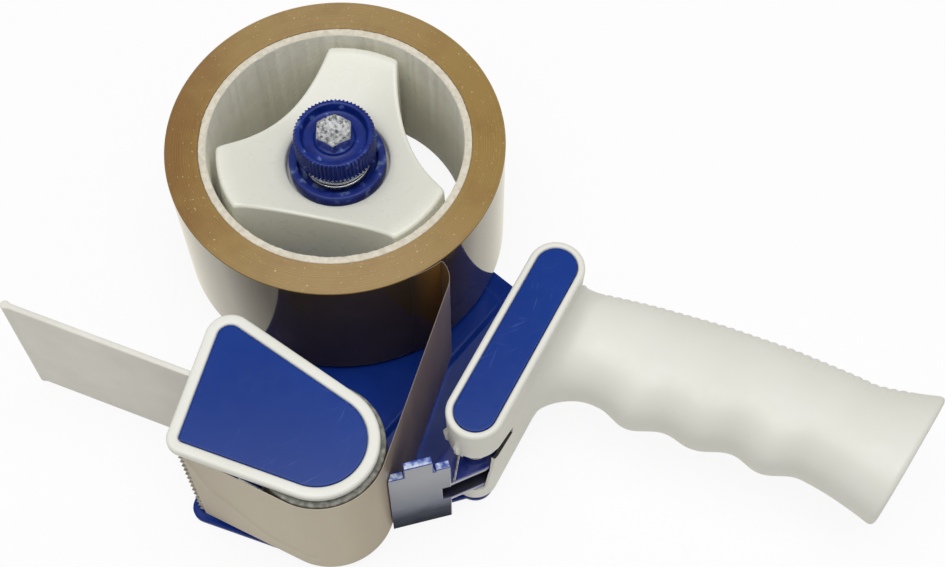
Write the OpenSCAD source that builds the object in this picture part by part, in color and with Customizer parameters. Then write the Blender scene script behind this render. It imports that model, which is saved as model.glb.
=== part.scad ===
// Handheld packing-tape dispenser, lying on its steel side plate with a part-used roll threaded.
// The origin is on the hub axis at the plate's back face. +Z points up off the plate and
// +X runs towards the end of the grip. All sizes are in millimetres.

/* [Tape] */
// Width of the tape, and so of the roll and the roller
tape_w = 50; // [48:0.5:52]
// Bore of the cardboard core
core_bore_d = 76; // [75:0.5:77]
// Wall of the cardboard core
core_wall = 2.4; // [1.6:0.1:3]
// Outside diameter of the part-used roll
roll_d = 100.4; // [94:0.2:104]
// Height of the roll's lower edge above the plate
roll_lift = 1.8; // [1.4:0.1:3]
// Thickness of the free tape between roll, roller and blade
web_t = 0.3; // [0.2:0.05:0.5]
// Place round the roll where the tape peels off
peel_angle = -52; // [-56:0.5:-48]
// Radius of the crease where the tape peels off
crease_r = 0.7; // [0.5:0.1:1.2]
// Radius of the bow in the tape after the crease
bow_r = 8.3; // [6:0.1:10]

/* [Frame plate] */
// Thickness of the steel sheet
sheet_t = 2; // [1.5:0.1:3]
// Height that the stiffening panel is pressed up
panel_rise = 1.2; // [0.8:0.1:2]
// Width of the flat rim round the panel
panel_inset = 3.2; // [2.5:0.1:3.4]
// Radius of the plate round the hub axis
hub_lobe_r = 19.4; // [18:0.2:24]
// Radius of the plate's corners under the handle
handle_lug_r = 5.5; // [5:0.1:7]

/* [Hub and tension brake] */
// Diameter of the spindle
spindle_d = 12; // [10:0.2:14]
// Height of the hub at the rim of its central opening
hub_mid_z = 44.4; // [43:0.2:46]
// Height of the hub's arms near their ends
hub_arm_z = 52.4; // [51:0.2:53]
// Width of the rounding at the arms' ends
hub_turn_w = 2.2; // [1.6:0.1:3]
// Height of the rounding at the arms' ends
hub_turn_drop = 2; // [1.4:0.1:3]
// Taper of the arms' ends, so that a core slides on
hub_taper = 2; // [1:0.1:2.4]
// Least radius of the hub between two arms
hub_waist_r = 21.8; // [21:0.2:24]
// Half of the angle that an arm's end covers
hub_arm_half = 17.6; // [16:0.1:20]
// Direction of the first arm
hub_arm_angle = 77.7; // [60:0.1:100]
// Wall of the hub moulding
hub_wall = 2.2; // [1.6:0.1:2.6]
// Diameter of the opening for the brake flange
hub_opening_d = 31.2; // [30.6:0.2:33]
// Depth of the opening below the hub's rim
hub_opening_depth = 4; // [3.6:0.1:5]
// Gap between the brake flange and the opening round it
flange_gap = 1; // [0.8:0.1:2]
// Thickness of the brake flange's floor
flange_floor_t = 1.8; // [1.4:0.1:2.4]
// Height that the flange's rim stands above the hub
flange_rim_rise = 1.9; // [1.2:0.1:2.4]
// Mean diameter of the tension spring
spring_d = 19; // [17:0.5:20]
// Wire of the tension spring
spring_wire = 1.5; // [1.2:0.1:1.6]
// Turns of the tension spring
spring_turns = 2.75; // [2:0.25:2.75]
// Height of the tension spring as set
spring_h = 7.6; // [7.2:0.1:8.4]
// Diameter of the knob over its knurl
knob_d = 24.2; // [23:0.2:26]
// Height of the knob
knob_h = 9; // [8:0.2:11]
// Number of ridges in the knurl
knob_ridges = 60; // [40:1:72]
// Depth of the knob's dished top
knob_dish = 2.6; // [2:0.1:3.4]
// Thread diameter of the knob bolt
bolt_d = 6; // [5:0.5:6]
// Width of the bolt's hexagon head across its flats
bolt_af = 10; // [9:0.5:11]

/* [Front roller] */
// Roller axis along X
roller_x = -0.8; // [-2:0.1:1]
// Roller axis along Y
roller_y = -95.1; // [-97:0.1:-94]
// Diameter of the roller over its rubber
roller_d = 36; // [34:0.2:36.6]
// Thickness of the rubber sleeve
sleeve_t = 4.5; // [3:0.1:6]
// Diameter of the roller's shaft
shaft_d = 8; // [7:0.2:10]

/* [Front cover] */
// Thickness of the cover
cover_t = 2.6; // [2.2:0.1:3.2]
// Gap between the tape's upper edge and the cover
cover_gap = 0.9; // [0.7:0.1:1.4]
// Radius of the cover's round end over the roller
cover_nose_r = 16.6; // [15.6:0.1:17.4]
// Corner by the roll along X, from the roller's axis
cover_top_x = -25.6; // [-27:0.1:-24]
// Corner by the roll along Y, from the roller's axis
cover_top_y = 30.3; // [29:0.1:31]
// Radius of the corner by the roll
cover_top_r = 7; // [6.4:0.1:8]
// Corner by the blade along X, from the roller's axis
cover_low_x = -36; // [-37:0.1:-35]
// Corner by the blade along Y, from the roller's axis
cover_low_y = 0.8; // [0:0.1:2]
// Radius of the corner by the blade
cover_low_r = 4.8; // [4.4:0.1:5.6]
// Width of the cover's rim round the blue inlay
cover_rim = 3.3; // [2.6:0.1:3.6]
// Thickness of the cover's inlay
cover_inlay_t = 1.1; // [0.8:0.1:1.2]

/* [Blade and wiper] */
// Direction of the tape from the roller to the blade
blade_angle = 153.4; // [151:0.1:155]
// Length of the tape's run from the roller to its cut end
blade_run = 32.5; // [31:0.1:33.5]
// Thickness of the blade
blade_t = 0.8; // [0.6:0.1:1]
// Length of the blade's teeth past the cut end of the tape
tooth_l = 2.6; // [2:0.1:3]
// Number of teeth
tooth_count = 24; // [18:1:30]
// Thickness of the blade's bracket
bracket_t = 1.5; // [1.2:0.1:2]
// Wiper root along X, from the roller's axis
wiper_x = -27.2; // [-28:0.1:-26]
// Wiper root along Y, from the roller's axis
wiper_y = 17.2; // [16:0.1:18]
// Direction of the wiper from its root to its tip
wiper_angle = 158.4; // [155:0.1:162]
// Length of the wiper from its root to its tip
wiper_l = 68.8; // [60:0.2:76]
// Thickness of the wiper
wiper_t = 1.8; // [1.4:0.1:2.4]
// Swing of the wiper each way as its root flexes
wiper_swing = 8; // [4:1:10]

/* [Handle] */
// Lever pin along X, from the roller's axis
pivot_x = 42; // [41:0.1:43]
// Lever pin along Y, from the roller's axis
pivot_y = 8.9; // [8:0.1:10]
// Direction of the handle block from the lever pin
block_angle = 62.5; // [60:0.1:65]
// Distance between the centres of the block's round ends
block_l = 49.4; // [48:0.2:52]
// Radius of the block's ends at its top
block_r = 8.2; // [7.8:0.1:9]
// Radius of the block's ends at its base
block_base_r = 6.8; // [6.6:0.1:7.6]
// Height of the block's base above the plate
block_lift = 2.8; // [2:0.1:4]
// Height of the block
block_h = 51; // [49:0.5:54]
// Width of the block's rim round its inlay
block_rim = 2.1; // [1.8:0.1:2.6]
// Thickness of the block's inlay
block_inlay_t = 1.6; // [1.2:0.1:2]
// Direction of the grip
grip_angle = -21.4; // [-24:0.1:-19]
// Start of the grip along the block, from the lever pin
grip_x = 41.25; // [40:0.05:42]
// Start of the grip to the side of the block's centre line
grip_y = 6.48; // [6:0.02:7]
// Height of the grip's centre line
grip_z = 30; // [28:0.5:32]
// Length of the grip
grip_l = 105.3; // [100:0.1:112]
// Reach of the palm side from the centre line
grip_palm = 20; // [19:0.1:22]
// Mean reach of the finger side from the centre line
grip_finger = 15.8; // [14:0.1:17]
// Height of the finger swells
swell_h = 1.3; // [0.5:0.1:2]
// Spacing of the finger swells
swell_pitch = 20; // [18:0.5:21]
// Half of the grip's thickness
grip_half_t = 14; // [12:0.1:16]
// Wall of the hollow grip
grip_wall = 2.8; // [2:0.1:3.5]

/* [Tape lever] */
// Angle of the lever's front wall
lever_angle = 14.6; // [12:0.1:17]
// Distance of the front wall's face from the pin
lever_front = 8.15; // [7.8:0.05:9]
// Distance of the wall's far end from the pin
lever_reach = 28.3; // [26:0.1:29]
// Distance of the wall's near end from the pin
lever_near = 9.1; // [8.8:0.1:10]
// Thickness of the front wall
lever_t = 2.4; // [1.8:0.1:2.6]
// Height of the front wall's top
lever_h = 41; // [39:0.2:43]
// Height of the raised tab on the wall
lever_tab_h = 6; // [4:0.2:7]
// Radius of the lever's ears round the pin
ear_r = 6.4; // [5.6:0.1:6.6]
// Thickness of an ear
ear_t = 2; // [1.6:0.1:2.4]
// Height of the lower ear's top
ear_low_z = 16.6; // [16:0.1:18]
// Height of the upper ear's top
ear_high_z = 28; // [27:0.1:29]
// Diameter of the lever pin
pin_d = 4; // [3:0.1:4.4]
// Wire of the lever's torsion spring
torsion_wire = 0.9; // [0.7:0.1:1]
// Turns of the lever's torsion spring, besides its part turn
torsion_turns = 4; // [3:1:4]

/* [Fits] */
// Radial clearance of a turning fit
run_fit = 0.06; // [0.02:0.01:0.1]
// Gap between a fixed piece and a moving one
move_gap = 0.3; // [0.25:0.05:0.4]
// Gap between pieces that are seated in each other
seat_gap = 0.05; // [0.02:0.01:0.1]
// Radius of the machine screws
screw_r = 2; // [1.6:0.1:2.2]
// Radius of the rivets and riveted ends
rivet_r = 1.6; // [1.2:0.1:2]

/* [Hidden] */

blue = [0.10, 0.16, 0.42];
ivory = [0.90, 0.89, 0.84];
zinc = [0.72, 0.73, 0.75];
steel = [0.55, 0.57, 0.60];
fine = 96;
coarse = 32;
cut = 1;

// Heights of the main levels
plate_top = sheet_t + panel_rise;
roll_z = plate_top + roll_lift;
tape_top = roll_z + tape_w;
cover_z = tape_top + cover_gap;
cover_top_z = cover_z + cover_t;
block_z = plate_top + block_lift;
block_top_z = block_z + block_h;
flush = 0.2;

// Roll
core_r = core_bore_d / 2;
core_out_r = core_r + core_wall;
roll_r = roll_d / 2;

// Hub, brake and knob
spindle_r = spindle_d / 2;
spindle_foot_w = 3.6;
spindle_foot_r = spindle_r + spindle_foot_w;
spindle_foot_t = 0.8;
brake_t = 0.9;
brake_w = 7.5;
brake_r = spindle_r + brake_w;
turn_gap = 0.1;
hub_z = plate_top + spindle_foot_t + brake_t + turn_gap;
core_slack = 0.4;
hub_r = core_r - core_slack;
hub_boss_w = 3.4;
hub_boss_r = spindle_r + hub_boss_w;
hub_opening_r = hub_opening_d / 2;
hub_floor_z = hub_mid_z - hub_opening_depth;
hub_floor_t = 2.4;
hub_edge_r = hub_r - hub_taper;
hub_turn_r = hub_edge_r - hub_turn_w;
hub_side_d = (hub_edge_r * hub_edge_r - hub_waist_r * hub_waist_r)
    / (2 * (hub_edge_r * cos(60 - hub_arm_half) - hub_waist_r));
hub_side_r = hub_side_d - hub_waist_r;
flange_r = hub_opening_r - flange_gap;
flange_z = hub_floor_z + turn_gap;
flange_rim_w = 2.4;
flange_rim_z = hub_mid_z + flange_rim_rise;
flat_depth = 1;
flat_half = spindle_r - flat_depth;
spring_z = flange_z + flange_floor_t;
washer_z = spring_z + spring_h;
washer_t = 1;
knob_z = washer_z + washer_t;
knob_top_z = knob_z + knob_h;
knob_r = knob_d / 2;
ridge_h = 0.6;
knob_rim_w = 2.6;
knob_ring_w = 2;
knob_ring_h = 0.6;
bolt_r = bolt_d / 2;
bolt_head_h = 4;
bolt_head_z = knob_top_z - knob_dish + knob_ring_h;
bolt_l = 28;
spindle_rise = 0.8;
spindle_top_z = spring_z + spindle_rise;
thread_depth = 20;

// Roller and the tape's path
roller_r = roller_d / 2;
web_in_r = roller_r + move_gap;
web_out_r = web_in_r + web_t;
roller_axis = [roller_x, roller_y];
shaft_r = shaft_d / 2;
shaft_step = 1;
shaft_end_r = shaft_r - shaft_step;
tapped_depth = 10;
roller_gap = 0.1;
roller_washer_w = 4;
roller_washer_r = shaft_r + roller_washer_w;
stuck_angle = 9;

// Front cover, blade and wiper
cover_corner = roller_axis + [cover_top_x, cover_top_y];
cover_heel = roller_axis + [cover_low_x, cover_low_y];
post_in_x = 3.5;
post_in_y = -3;
post_at = cover_corner + [post_in_x, post_in_y];
post_r = 4;
head_w = 1.5;
screw_head_r = screw_r + head_w;
screw_head_h = 0.5;
screw_l = 8;
inlay_drop = 0.1;
blade_back = 14;
bracket_set = 3;
bracket_w = 10;
bracket_to = blade_run - bracket_set;
bracket_from = bracket_to - bracket_w;
bracket_foot = 11;
bracket_fold = 1;
rivet_edge = 0.7;
rivet_head_h = 1;
blade_head_w = 1.2;
bracket_head_w = 0.6;
blade_face = web_in_r - move_gap;
bracket_face = blade_face - blade_t;
rivet_line = bracket_face - bracket_t - bracket_foot / 2 - bracket_fold;
blade_clear = 0.6;
blade_low_z = plate_top + blade_clear;
blade_high_z = cover_z - blade_clear;
wiper_at = roller_axis + [wiper_x, wiper_y];
bead_rise = 1.2;
bead_r = wiper_t / 2 + bead_rise;
tip_rise = 0.4;
wiper_tip_r = wiper_t / 2 + tip_rise;
holder_wall = 2;
holder_r = bead_r + holder_wall;
wiper_low_gap = 0.4;
wiper_low_z = plate_top + wiper_low_gap;
wiper_high_gap = 1.2;
wiper_high_z = cover_z - wiper_high_gap;

// Handle block, from the lever pin along the block
pivot = roller_axis + [pivot_x, pivot_y];
block_far = pivot + block_l * [cos(block_angle), sin(block_angle)];
foot_r = 3.6;
foot_set = 4;
pocket_wall = 1.8;
pocket_r = block_base_r - pocket_wall;
pocket_from = 14;
pocket_floor_t = 3;
pocket_floor_z = block_z + pocket_floor_t;
slot_side = 0.2;
slot_r = ear_r + slot_side;
slot_left = 1.5;
slot_lap = 0.4;
slot_lip_low = 4.2;
slot_lip_high = 2.2;
slot_lip_rise = 3.6;
slot_lip_z = ear_high_z + slot_lip_rise;
slot_back = 8.5;
relief_t = 1.6;
relief_fall = 3.4;
slot_clear = 1;
slot_low_z = ear_low_z - ear_t - slot_clear;
spring_room = 12;
slot_high_z = ear_high_z + spring_room;
slot_step = 0.15;
slot_lip_foot = slot_low_z + 2 * slot_step;
slot_lip_head = slot_high_z - 2 * slot_step;
pin_seat = 1;
pin_low_z = block_z + pin_seat;
pin_cover = 3.4;
pin_high_z = block_top_z - block_inlay_t - pin_cover;
near_screw = 3;
far_screw = 4;
handle_screw_at = [pocket_from + near_screw, block_l - far_screw];
handle_screw_more = 0.5;
handle_screw_r = screw_r + handle_screw_more;
handle_head_r = handle_screw_r + head_w;
handle_head_h = 2.6;

// Grip outline, as functions of the distance along the grip
grip_at = pivot + grip_x * [cos(block_angle), sin(block_angle)]
    + grip_y * [sin(block_angle), -cos(block_angle)];
grip_slant = 0.21;
grip_sides = 32;
grip_steps = 36;
grip_root = 4;
grip_solid_l = 6;
end_round = 2;
end_steps = 4;
palm_mid = 54;
palm_bow = 5;
palm_flare = 6.5;
palm_flare_l = 18.5;
palm_flare_from = grip_l + 3.2 - palm_flare_l;
finger_flare = 5.9;
finger_flare_to = grip_l - 4.7;
end_thick = 1.2;
end_thick_l = 17;
neck_thick = 3;
neck_flare = 7.84;
first_swell = 27;
fore_swell = 1.1;
fore_half = 16;
fore_mid = first_swell + swell_pitch / 5;
swell_from = first_swell - swell_pitch / 2;
swell_to = first_swell + 2.5 * swell_pitch;
neck_l = 14;
plug_t = 3;
plug_set = 0.6;
plug_gap = 0.1;
section_power = 2.4;

// Tape lever, from the lever pin along its front wall
tab_set = 6;
tab_w = 8.2;
tab_from = lever_reach - tab_set;
tab_to = tab_from - tab_w;
tab_notch_w = 0.7;
tab_notch_h = 1;
ear_set = 7;
lever_low_z = 1;
window_w = 2.6;
window_step = 0.2;
window_low_z = ear_low_z + window_step;
window_drop = 0.7;
window_high_z = ear_high_z - ear_t - window_drop;
torsion_gap = 1.7;
torsion_r = pin_d / 2 + torsion_gap;
torsion_lift = 2.2;
torsion_z = ear_high_z + torsion_lift;
torsion_rise = 6.8;
torsion_tip_gap = 0.1;
torsion_tip_r = slot_r - torsion_wire / 2 - torsion_tip_gap;
torsion_tail = sqrt(torsion_tip_r * torsion_tip_r - pow(torsion_r + torsion_wire / 2, 2));
torsion_leg = 11.2;
torsion_fall = 0.55;

// Plate's outline
heel_out_x = -1;
heel_out_y = 0.4;
nose_set = 0.4;
lug_out = 3.6;
shaft_land = 3;
lug_in = 1.5;
panel_turn_r = 3;
knee_out_x = 12.2;
knee_out_y = 25.1;
panel_knee = roller_axis + [knee_out_x, knee_out_y];
panel_short = 18.1;
panel_side = 15.3;
panel_end = block_far + [-panel_short, panel_side];

function dir(a) = [cos(a), sin(a)];
function unit(v) = v / norm(v);

// Points on an arc about c, from angle a0 to a1
function arc(c, r, a0, a1, n) = [for (i = [0 : n]) c + r * dir(a0 + (a1 - a0) * i / n)];

// A tube swept along a route, as the points of its rings
function ring_points(route, r, sides) = [
    for (i = [0 : len(route) - 1])
        let (
            ahead = route[min(i + 1, len(route) - 1)],
            behind = route[max(i - 1, 0)],
            along = unit(ahead - behind),
            side = unit(cross(along, [0, 0, 1])),
            up = cross(side, along)
        )
        for (j = [0 : sides - 1])
            route[i] + r * (cos(360 * j / sides) * side + sin(360 * j / sides) * up)
];

// Triangles that join rings of equal size and close both ends
function ring_faces(rings, sides) = concat(
    [for (i = [0 : rings - 2]) for (j = [0 : sides - 1])
        [i * sides + j, i * sides + (j + 1) % sides, (i + 1) * sides + j]],
    [for (i = [0 : rings - 2]) for (j = [0 : sides - 1])
        [i * sides + (j + 1) % sides, (i + 1) * sides + (j + 1) % sides, (i + 1) * sides + j]],
    [for (j = [1 : sides - 2]) [0, j + 1, j]],
    [for (j = [1 : sides - 2])
        [(rings - 1) * sides, (rings - 1) * sides + j, (rings - 1) * sides + j + 1]]
);

// Least clear distance between curls that are one turn or more apart
function least_gap(route, per_turn, wire) = min([
    for (i = [0 : len(route) - 1])
        for (j = [i + per_turn : 1 : len(route) - 1])
            norm(route[i] - route[j]) - wire
]);

module wire_tube(route, wire) {
    sides = 6;
    polyhedron(ring_points(route, wire / 2, sides), ring_faces(len(route), sides));
}

module ring(r_out, r_in, h) {
    difference() {
        cylinder(r = r_out, h = h, $fn = fine);
        translate([0, 0, -cut]) cylinder(r = r_in, h = h + 2 * cut, $fn = fine);
    }
}

module at_roller(z) {
    translate([roller_x, roller_y, z]) children();
}

// The plate's front lobe, from the hub to the roller, drawn in by a given width
module front_lobe(inset) {
    hull() {
        circle(r = hub_lobe_r - inset, $fn = fine);
        translate(cover_corner) circle(r = cover_top_r - inset, $fn = coarse);
        translate(cover_heel + [heel_out_x, heel_out_y]) circle(r = cover_low_r - inset, $fn = coarse);
        translate(roller_axis) circle(r = cover_nose_r - nose_set - inset, $fn = fine);
    }
}

// The plate's outline: the front lobe, a lobe under the handle and the web between them
module plate_outline() {
    front_lobe(0);
    hull() {
        circle(r = hub_lobe_r, $fn = fine);
        translate(pivot) circle(r = handle_lug_r, $fn = coarse);
        translate(block_far + lug_out * dir(block_angle)) circle(r = handle_lug_r, $fn = coarse);
    }
    hull() {
        circle(r = hub_lobe_r, $fn = fine);
        translate(roller_axis) circle(r = shaft_r + shaft_land, $fn = coarse);
        translate(pivot) circle(r = handle_lug_r - lug_in, $fn = coarse);
    }
}

// The raised panel's outline, which ends in a slanting step beside the handle
module panel_outline() {
    front_lobe(panel_inset);
    hull() {
        circle(r = hub_lobe_r - panel_inset, $fn = fine);
        translate(panel_knee) circle(r = panel_turn_r, $fn = coarse);
        translate(panel_end) circle(r = panel_turn_r, $fn = coarse);
    }
}

// Pressed steel side plate that carries everything else
module frame_plate() {
    color(blue)
    difference() {
        union() {
            linear_extrude(sheet_t) plate_outline();
            linear_extrude(plate_top) panel_outline();
        }
        at_roller(-cut) cylinder(r = shaft_end_r + seat_gap, h = plate_top + 2 * cut, $fn = fine);
        translate([post_at[0], post_at[1], -cut])
            cylinder(r = rivet_r + seat_gap, h = plate_top + 2 * cut, $fn = fine);
        for (x = handle_screw_at)
            at_block(-cut)
                translate([x, 0, 0])
                    cylinder(r = handle_screw_r + seat_gap, h = plate_top + 2 * cut, $fn = fine);
        for (x = bracket_rivet_at)
            at_blade()
                translate([x, rivet_line, -cut])
                    cylinder(r = rivet_r + seat_gap, h = plate_top + 2 * cut, $fn = fine);
    }
}

// Steel spindle, welded to the plate by its foot, threaded for the knob bolt
module spindle_post() {
    color(steel)
    difference() {
        union() {
            translate([0, 0, plate_top]) cylinder(r = spindle_foot_r, h = spindle_foot_t, $fn = fine);
            translate([0, 0, plate_top]) cylinder(r = spindle_r, h = spindle_top_z - plate_top, $fn = fine);
        }
        translate([0, 0, spindle_top_z - thread_depth])
            cylinder(r = bolt_r + run_fit, h = thread_depth + cut, $fn = fine);
        for (side = [-1, 1])
            translate([side * (flat_half + spindle_r) - spindle_r, -spindle_r, flange_z - seat_gap])
                cube([2 * spindle_r, 2 * spindle_r, spindle_top_z]);
    }
}

// Fibre washer that the hub turns on
module friction_washer() {
    color([0.35, 0.22, 0.16])
    translate([0, 0, plate_top + spindle_foot_t]) ring(brake_r, spindle_r + seat_gap, brake_t);
}

// Plan of the hub's three arms, with its concave sides drawn in by a given width
module hub_plan(inset, h) {
    difference() {
        cylinder(r = hub_r + cut - inset, h = h, $fn = fine);
        for (i = [0 : 2])
            rotate(hub_arm_angle + 60 + 120 * i)
                translate([hub_side_d, 0, -cut])
                    cylinder(r = hub_side_r + inset, h = h + 2 * cut, $fn = 2 * fine);
    }
}

// Height of the hub's dished top at a given radius
function hub_top(r) =
    hub_mid_z + (hub_arm_z - hub_mid_z) * (r - hub_opening_r) / (hub_turn_r - hub_opening_r);

// Moulded three-arm hub that holds the core and turns on the spindle
module core_hub() {
    skin_r = hub_opening_r + hub_wall;
    turn_w = hub_edge_r - hub_turn_r;
    turn_z = hub_arm_z - hub_turn_drop;
    grip_top_z = roll_z + tape_w / 3;
    turned = [for (a = [0 : 15 : 75]) [hub_turn_r + turn_w * cos(a), turn_z + hub_turn_drop * sin(a)]];
    color(ivory)
    difference() {
        intersection() {
            rotate_extrude($fn = fine)
                polygon(concat(
                    [[0, hub_z], [hub_r, hub_z], [hub_r, grip_top_z]],
                    turned,
                    [[hub_turn_r, hub_arm_z], [hub_opening_r, hub_mid_z], [0, hub_mid_z]]
                ));
            hub_plan(0, tape_top);
        }
        intersection() {
            rotate_extrude($fn = fine)
                polygon([
                    [hub_boss_r, hub_z - cut],
                    [hub_r - hub_wall, hub_z - cut],
                    [hub_r - hub_wall, grip_top_z],
                    [hub_edge_r - hub_wall, turn_z - hub_wall / 2],
                    [hub_turn_r - hub_wall / 2, hub_arm_z - hub_wall],
                    [skin_r, hub_top(skin_r) - hub_wall],
                    [skin_r, hub_floor_z - hub_floor_t],
                    [hub_boss_r, hub_floor_z - hub_floor_t]
                ]);
            hub_plan(hub_wall, tape_top);
        }
        translate([0, 0, hub_floor_z]) cylinder(r = hub_opening_r, h = tape_w, $fn = fine);
        cylinder(r = spindle_r + run_fit, h = tape_top, $fn = fine);
    }
}

// Moulded brake flange, keyed to the spindle's flats, that the spring presses on the hub
module brake_flange() {
    color(blue)
    translate([0, 0, flange_z])
    difference() {
        cylinder(r = flange_r, h = flange_rim_z - flange_z, $fn = fine);
        translate([0, 0, flange_floor_t])
            cylinder(r = flange_r - flange_rim_w, h = flange_rim_z, $fn = fine);
        intersection() {
            translate([0, 0, -cut]) cylinder(r = spindle_r + seat_gap, h = flange_rim_z, $fn = fine);
            translate([-flat_half - seat_gap, -spindle_d, -cut])
                cube([2 * (flat_half + seat_gap), 2 * spindle_d, flange_rim_z]);
        }
    }
}

// Compression spring that sets the drag on the roll
curl_rings = 8;
spring_low_z = spring_z + spring_wire / 2 + seat_gap;
spring_high_z = washer_z - spring_wire / 2 - seat_gap;
spring_route = [
    for (i = [0 : spring_turns * curl_rings])
        let (a = 360 * i / curl_rings, f = i / (spring_turns * curl_rings))
        [spring_d / 2 * cos(a), spring_d / 2 * sin(a), spring_low_z + f * (spring_high_z - spring_low_z)]
];
module tension_spring() {
    gap = least_gap(spring_route, curl_rings, spring_wire);
    echo(str("tension spring, least gap between curls: ", gap));
    color(zinc) wire_tube(spring_route, spring_wire);
}

// Steel washer between the spring and the knob
module thrust_washer() {
    color(zinc)
    translate([0, 0, washer_z]) ring(spring_d / 2 + spring_wire, bolt_r + run_fit, washer_t);
}

// Knurled tension knob with a dished top
module tension_knob() {
    color([0.11, 0.19, 0.52])
    translate([0, 0, knob_z])
    difference() {
        linear_extrude(knob_h)
            polygon([for (i = [0 : 2 * knob_ridges - 1])
                (knob_r - ridge_h * (i % 2)) * dir(180 * i / knob_ridges)]);
        difference() {
            translate([0, 0, knob_h - knob_dish]) cylinder(r = knob_r - knob_rim_w, h = knob_h, $fn = fine);
            cylinder(r = bolt_af / 2 + knob_ring_w, h = knob_h - knob_dish + knob_ring_h, $fn = fine);
        }
        translate([0, 0, -cut]) cylinder(r = bolt_r + seat_gap, h = knob_h + 2 * cut, $fn = fine);
    }
}

// Hexagon bolt that turns with the knob and screws into the spindle
module knob_bolt() {
    color(zinc)
    union() {
        translate([0, 0, bolt_head_z])
            rotate(30)
                cylinder(r = bolt_af / 2 / cos(30), h = bolt_head_h, $fn = 6);
        translate([0, 0, bolt_head_z - bolt_l]) cylinder(r = bolt_r, h = bolt_l + cut, $fn = fine);
    }
}

// Cardboard core of the roll
module tape_core() {
    color([0.80, 0.72, 0.62])
    translate([0, 0, roll_z]) ring(core_out_r, core_r, tape_w);
}

// Wound tape
module tape_winding() {
    color([0.55, 0.42, 0.22])
    translate([0, 0, roll_z]) ring(roll_r, core_out_r + seat_gap, tape_w);
}

// Direction of the point where one tangent touches two circles on their left, going from a to b
function touch_angle(a, ra, b, rb) =
    let (d = b - a)
    atan2(d[1], d[0]) + acos((ra - rb) / norm(d));

// The free tape: a crease at the roll, a bow, a run to the roller, a wrap and a run to the blade.
// The offset is half of the tape's thickness, positive on the sticky side.
peel_r = roll_r + move_gap + web_t / 2;
wrap_r = web_in_r + web_t / 2;
crease_at = (peel_r + crease_r) * dir(peel_angle);
bow_at = crease_at + (crease_r - bow_r) * dir(peel_angle + 90);
touch_from = touch_angle(bow_at, bow_r, roller_axis, wrap_r);
leave_at = blade_angle - 270;
function web_edge(offset) = concat(
    arc([0, 0], peel_r - offset, peel_angle - stuck_angle, peel_angle, 5),
    arc(crease_at, crease_r + offset, peel_angle + 180, peel_angle + 90, 6),
    arc(bow_at, bow_r + offset, peel_angle + 90, touch_from, 10),
    arc(roller_axis, wrap_r + offset, touch_from, leave_at, 36),
    [roller_axis + (wrap_r + offset) * dir(leave_at) + blade_run * dir(blade_angle)]
);
module tape_web() {
    inner = web_edge(-web_t / 2);
    outer = web_edge(web_t / 2);
    color([0.62, 0.57, 0.48])
    translate([0, 0, roll_z])
        linear_extrude(tape_w)
            polygon(concat(inner, [for (i = [len(outer) - 1 : -1 : 0]) outer[i]]));
}

// Steel shaft of the roller, riveted into the plate, with a threaded upper end
module roller_shaft() {
    color(steel)
    difference() {
        union() {
            at_roller(flush) cylinder(r = shaft_end_r, h = plate_top, $fn = fine);
            at_roller(plate_top) cylinder(r = shaft_r, h = cover_z - plate_top, $fn = fine);
        }
        at_roller(cover_z - tapped_depth)
            cylinder(r = screw_r + seat_gap, h = tapped_depth + cut, $fn = fine);
    }
}

// Moulded core of the roller
module roller_core() {
    color([0.25, 0.26, 0.28])
    at_roller(roll_z) ring(roller_r - sleeve_t - seat_gap, shaft_r + run_fit, tape_w);
}

// Rubber sleeve of the roller
module roller_sleeve() {
    color([0.36, 0.37, 0.36])
    at_roller(roll_z) ring(roller_r, roller_r - sleeve_t, tape_w);
}

// Washers at both ends of the roller
module roller_washers() {
    color([0.85, 0.85, 0.82])
    union() {
        at_roller(plate_top) ring(roller_washer_r, shaft_r + seat_gap, roll_lift - roller_gap);
        at_roller(tape_top + roller_gap) ring(roller_washer_r, shaft_r + seat_gap, cover_gap - roller_gap);
    }
}

// Rounded three-corner plan of the cover, drawn in by a given width
module cover_plan(inset) {
    hull() {
        translate(roller_axis) circle(r = cover_nose_r - inset, $fn = fine);
        translate(cover_corner) circle(r = cover_top_r - inset, $fn = coarse);
        translate(cover_heel) circle(r = cover_low_r - inset, $fn = coarse);
    }
}

cover_fixings = [roller_axis, post_at];
cover_seat_z = cover_top_z - cover_inlay_t;

// Moulded cover over the roller and the blade
module front_cover() {
    color(ivory)
    difference() {
        translate([0, 0, cover_z]) linear_extrude(cover_t) cover_plan(0);
        translate([0, 0, cover_seat_z]) linear_extrude(cover_t) cover_plan(cover_rim);
        for (p = cover_fixings)
            translate([p[0], p[1], cover_z - cut])
                cylinder(r = screw_r + seat_gap, h = cover_t + cut, $fn = fine);
    }
}

// Coloured inlay that hides the cover's screws
module cover_inlay() {
    color(blue)
    difference() {
        translate([0, 0, cover_seat_z])
            linear_extrude(cover_inlay_t - inlay_drop)
                cover_plan(cover_rim + 2 * seat_gap);
        for (p = cover_fixings)
            translate([p[0], p[1], cover_seat_z - cut])
                cylinder(r = screw_head_r + seat_gap, h = cut + screw_head_h + seat_gap, $fn = fine);
    }
}

// Steel post that holds the cover off the plate
module cover_post() {
    color(steel)
    translate([post_at[0], post_at[1], 0])
    difference() {
        union() {
            translate([0, 0, flush]) cylinder(r = rivet_r, h = plate_top, $fn = fine);
            translate([0, 0, plate_top]) cylinder(r = post_r, h = cover_z - plate_top, $fn = fine);
        }
        translate([0, 0, cover_z - tapped_depth])
            cylinder(r = screw_r + seat_gap, h = tapped_depth + cut, $fn = fine);
    }
}

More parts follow.
